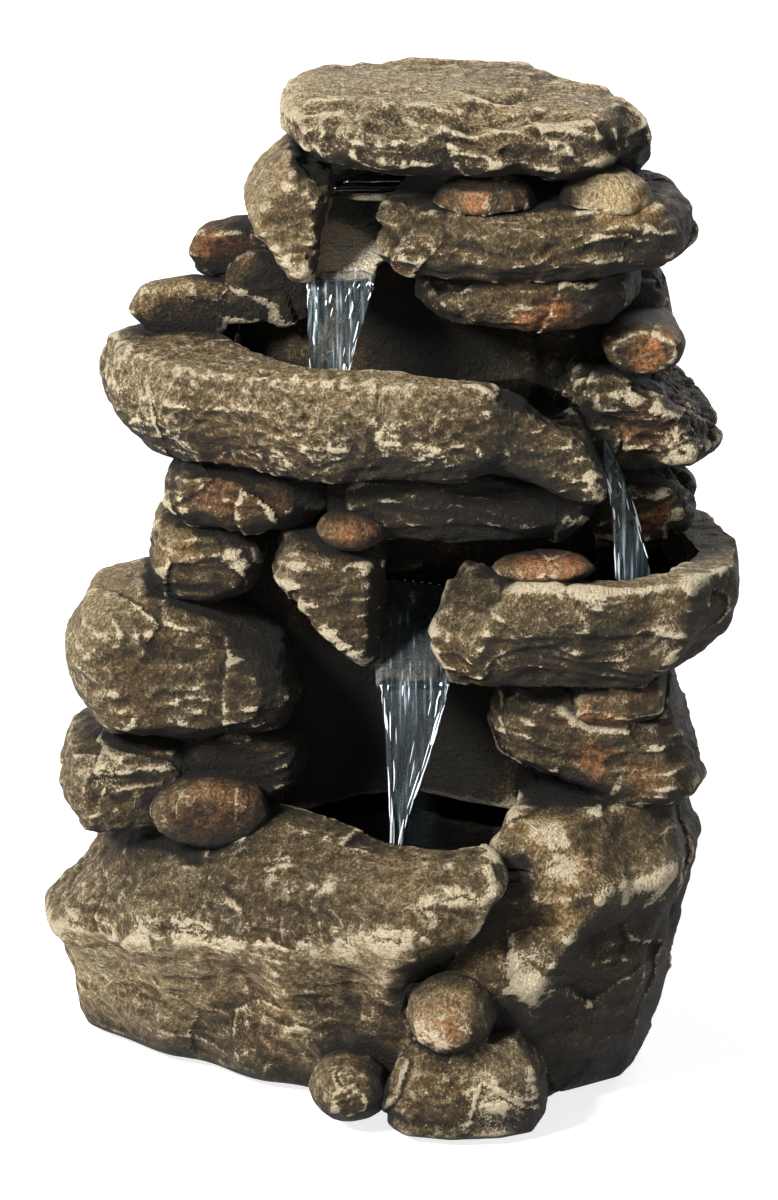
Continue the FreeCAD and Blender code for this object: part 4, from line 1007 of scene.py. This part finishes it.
class FountainColours(bpy.types.PropertyGroup):
    """The paints of the cast stone and its stains, some of them also used as painted light and shade."""

    # Near-black of the dark wash in the joints, also the painted shade in hollows and under overhangs
    joint_and_shade: tint("Joint", "Near-black wash in the joints between stones", 20, 17, 11)
    umber: tint("Umber", "Dark base wash", 47, 39, 25)
    brown: tint("Brown", "Base colour of open faces", 89, 75, 49)
    tan: tint("Tan", "First dry-brushed coat", 141, 122, 87)
    cream: tint("Cream", "Second dry-brushed coat, on edges", 216, 193, 149)
    pale: tint("Pale", "Last touches on the sharpest edges", 244, 230, 202)
    rust: tint("Rust", "Deep part of a copper stain", 84, 52, 34)
    copper: tint("Copper", "Copper stain", 184, 113, 62)
    pink: tint("Pink", "Pale part of a copper stain", 224, 175, 128)
    ochre: tint("Ochre", "Golden face of single stones", 176, 136, 78)
    sand: tint("Sand", "Pale floor of the top spillway", 212, 194, 172)
    slate: tint("Slate", "Wet spillway stone", 92, 99, 99)
    wet: tint("Wet", "Deep wet stone", 30, 33, 35)
    mist: tint("Mist", "Film of water over stone", 112, 122, 130)


class FountainStudio(bpy.types.PropertyGroup):
    """Where the camera stands and how the object is lit."""

    distance: bpy.props.FloatProperty(
        name="Distance", description="From the camera to the middle of the fountain", unit="LENGTH",
        default=3.7)
    elevation: bpy.props.FloatProperty(
        name="Elevation", description="Height of the camera above the horizon", subtype="ANGLE",
        default=math.radians(18))
    aim: bpy.props.FloatProperty(
        name="Aim", description="Height that the camera looks at", unit="LENGTH", default=0.1845)
    width: bpy.props.FloatProperty(
        name="View width", description="Width of the picture at the fountain", unit="LENGTH",
        default=0.3006)
    key: bpy.props.FloatProperty(
        name="Key light", description="Power of the large lamp at the upper left", subtype="POWER",
        default=138)
    fill: bpy.props.FloatProperty(
        name="Fill light", description="Power of the low lamp in front", subtype="POWER", default=8)
    back: bpy.props.FloatProperty(
        name="Back light", description="Power of the soft lamp behind", subtype="POWER", default=40)
    sky: bpy.props.FloatProperty(
        name="Sky", description="Strength of the even light from all round", default=0.09)


def carve_group(name):
    """Carves the stones of one group."""
    for node in GROUPS[name]:
        carve(node)
    return {"FINISHED"}


class FOUNTAIN_OT_basins(bpy.types.Operator):
    """Carve the three basins, the corner that the upper one spills over and the boulder by the lowest"""

    bl_idname = "fountain.basins"
    bl_label = "Basins"

    def execute(self, context):
        return carve_group("basins")


class FOUNTAIN_OT_chutes(bpy.types.Operator):
    """Carve the two spillways and the stones beside them"""

    bl_idname = "fountain.chutes"
    bl_label = "Spillways"

    def execute(self, context):
        return carve_group("chutes")


class FOUNTAIN_OT_slabs(bpy.types.Operator):
    """Carve the cap and the bedded slabs"""

    bl_idname = "fountain.slabs"
    bl_label = "Slabs"

    def execute(self, context):
        return carve_group("slabs")


class FOUNTAIN_OT_left_stones(bpy.types.Operator):
    """Carve the logs, boulder and stump of the left column and the stone at the front"""

    bl_idname = "fountain.left_stones"
    bl_label = "Left stones"

    def execute(self, context):
        return carve_group("left_stones")


class FOUNTAIN_OT_pebbles(bpy.types.Operator):
    """Carve the pebbles and cobbles"""

    bl_idname = "fountain.pebbles"
    bl_label = "Pebbles"

    def execute(self, context):
        return carve_group("pebbles")


class FOUNTAIN_OT_cliff(bpy.types.Operator):
    """Carve the hollow cliff, the tub and the top reservoir"""

    bl_idname = "fountain.cliff"
    bl_label = "Cliff"

    def execute(self, context):
        return carve_group("cliff")


def add_lamp(name, place, power, across):
    """A large soft lamp that looks at the middle of the fountain."""
    lamp = bpy.data.lights.new(name, "AREA")
    lamp.energy = power
    lamp.size = across
    holder = bpy.data.objects.new(name, lamp)
    holder.location = place
    holder.rotation_euler = (Vector((0, 0, 0.2)) - Vector(place)).to_track_quat("-Z", "Y").to_euler()
    bpy.context.scene.collection.objects.link(holder)


def background_rays(tree):
    """1 for what the camera, a reflection or clear water sees, 0 for light that falls on the object."""
    rays = make(tree, "LightPath").outputs
    seen = math_of(tree, "MAXIMUM", rays["Is Camera Ray"], rays["Is Glossy Ray"])
    return math_of(tree, "MAXIMUM", seen, rays["Is Transmission Ray"])


class FOUNTAIN_OT_studio(bpy.types.Operator):
    """Set the floor, the soft light, the white surround and the camera"""

    bl_idname = "fountain.studio"
    bl_label = "Studio"

    def execute(self, context):
        studio = context.scene.fountain_studio
        shape = bmesh.new()
        bmesh.ops.create_circle(shape, cap_ends=True, radius=9, segments=64)
        mesh = bpy.data.meshes.new("studio_floor")
        shape.to_mesh(mesh)
        shape.free()
        finish, tree, shader, place = new_finish("pale_floor")
        clouds = noise(tree, place, 5, 2, 0.5)
        fill(tree, shader, {
            "Base Color": stepped(tree, clouds, [(0.3, (0.5, 0.5, 0.5)), (0.7, (0.52, 0.52, 0.52))]),
            "Roughness": 0.9, "Specular IOR Level": 0.0, "Emission Color": (1, 1, 1, 1),
            "Emission Strength": times(tree, background_rays(tree), 0.8)})
        mesh.materials.append(finish)
        add_object("studio_floor", mesh)
        world = bpy.data.worlds.new("white_surround")
        context.scene.world = world
        world.use_nodes = True
        tree = world.node_tree
        light = tree.nodes["Background"]
        sockets = {"Value": background_rays(tree), "To Min": studio.sky, "To Max": 1.0}
        tree.links.new(make(tree, "MapRange", sockets).outputs[0], light.inputs["Strength"])
        light.inputs["Color"].default_value = (1, 1, 1, 1)
        add_lamp("key", (-1.3, -1.3, 1.45), studio.key, 0.45)
        add_lamp("fill", (0.3, -2.2, 0.5), studio.fill, 1.0)
        add_lamp("back", (1.0, 2.0, 1.1), studio.back, 1.2)
        lens = bpy.data.cameras.new("camera")
        lens.sensor_fit = "HORIZONTAL"
        lens.sensor_width = 36
        lens.lens = 36 * studio.distance / studio.width
        camera = bpy.data.objects.new("camera", lens)
        back = studio.distance * math.cos(studio.elevation)
        camera.location = (0, -back, studio.aim + studio.distance * math.sin(studio.elevation))
        camera.rotation_euler = (math.pi / 2 - studio.elevation, 0, 0)
        context.scene.collection.objects.link(camera)
        context.scene.camera = camera
        context.scene.view_settings.view_transform = "Standard"
        return {"FINISHED"}


def dress(table):
    """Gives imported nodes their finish."""
    for node, finish in table.items():
        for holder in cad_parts[node].material_slots:
            holder.material = finishes()[finish]
    return {"FINISHED"}


class FOUNTAIN_OT_works(bpy.types.Operator):
    """Finish the pump, its impeller and regulator, the riser tube and its fitting"""

    bl_idname = "fountain.works"
    bl_label = "Pump and riser"

    def execute(self, context):
        return dress(WORKS)


class FOUNTAIN_OT_fittings(bpy.types.Operator):
    """Finish the access door, grommet, drain plug and feet"""

    bl_idname = "fountain.fittings"
    bl_label = "Door and fittings"

    def execute(self, context):
        return dress(FITTINGS)


class FOUNTAIN_OT_pools(bpy.types.Operator):
    """Fill the cup and the three pools"""

    bl_idname = "fountain.pools"
    bl_label = "Pools"

    def execute(self, context):
        for name in POOLS:
            pool_water(name)
        return {"FINISHED"}


class FOUNTAIN_OT_falls(bpy.types.Operator):
    """Pour the three falls, their white threads and the splashes at their feet"""

    bl_idname = "fountain.falls"
    bl_label = "Falls"

    def execute(self, context):
        fall_sheet("top_film", "top_chute", 1)
        falls = [("top_fall", "top_chute", 34, 0.16), ("spout_fall", "upper_basin", 14, 0.5),
                 ("lower_fall", "lower_chute", 44, 0.36)]
        for name, bed, strands, lip in falls:
            fall_sheet(name, bed, lip)
            fall_strands(name, strands, lip)
        for name in ("upper_pool", "middle_pool", "lower_pool"):
            splash(name, 40)
        return {"FINISHED"}


OPERATORS = [
    FOUNTAIN_OT_studio, FOUNTAIN_OT_basins, FOUNTAIN_OT_chutes, FOUNTAIN_OT_slabs, FOUNTAIN_OT_left_stones,
    FOUNTAIN_OT_pebbles, FOUNTAIN_OT_cliff, FOUNTAIN_OT_works, FOUNTAIN_OT_fittings, FOUNTAIN_OT_pools,
    FOUNTAIN_OT_falls,
]


class FOUNTAIN_PT_panel(bpy.types.Panel):
    """The fountain's pieces, studio and colours in the sidebar"""

    bl_idname = "FOUNTAIN_PT_panel"
    bl_label = "Fountain"
    bl_space_type = "VIEW_3D"
    bl_region_type = "UI"
    bl_category = "Fountain"

    def draw(self, context):
        layout = self.layout
        for operator in OPERATORS:
            layout.operator(operator.bl_idname)
        for group in (context.scene.fountain_colours, context.scene.fountain_studio):
            for name in group.__annotations__:
                layout.prop(group, name)


CLASSES = [FountainColours, FountainStudio, *OPERATORS, FOUNTAIN_PT_panel]


def register():
    for kind in CLASSES:
        bpy.utils.register_class(kind)
    bpy.types.Scene.fountain_colours = bpy.props.PointerProperty(type=FountainColours)
    bpy.types.Scene.fountain_studio = bpy.props.PointerProperty(type=FountainStudio)


def unregister():
    del bpy.types.Scene.fountain_studio
    del bpy.types.Scene.fountain_colours
    for kind in reversed(CLASSES):
        bpy.utils.unregister_class(kind)


def main():
    register()
    bpy.ops.fountain.studio()
    bpy.ops.fountain.basins()
    bpy.ops.fountain.chutes()
    bpy.ops.fountain.slabs()
    bpy.ops.fountain.left_stones()
    bpy.ops.fountain.pebbles()
    bpy.ops.fountain.cliff()
    bpy.ops.fountain.works()
    bpy.ops.fountain.fittings()
    bpy.ops.fountain.pools()
    bpy.ops.fountain.falls()


if __name__ == "__main__":
    main()
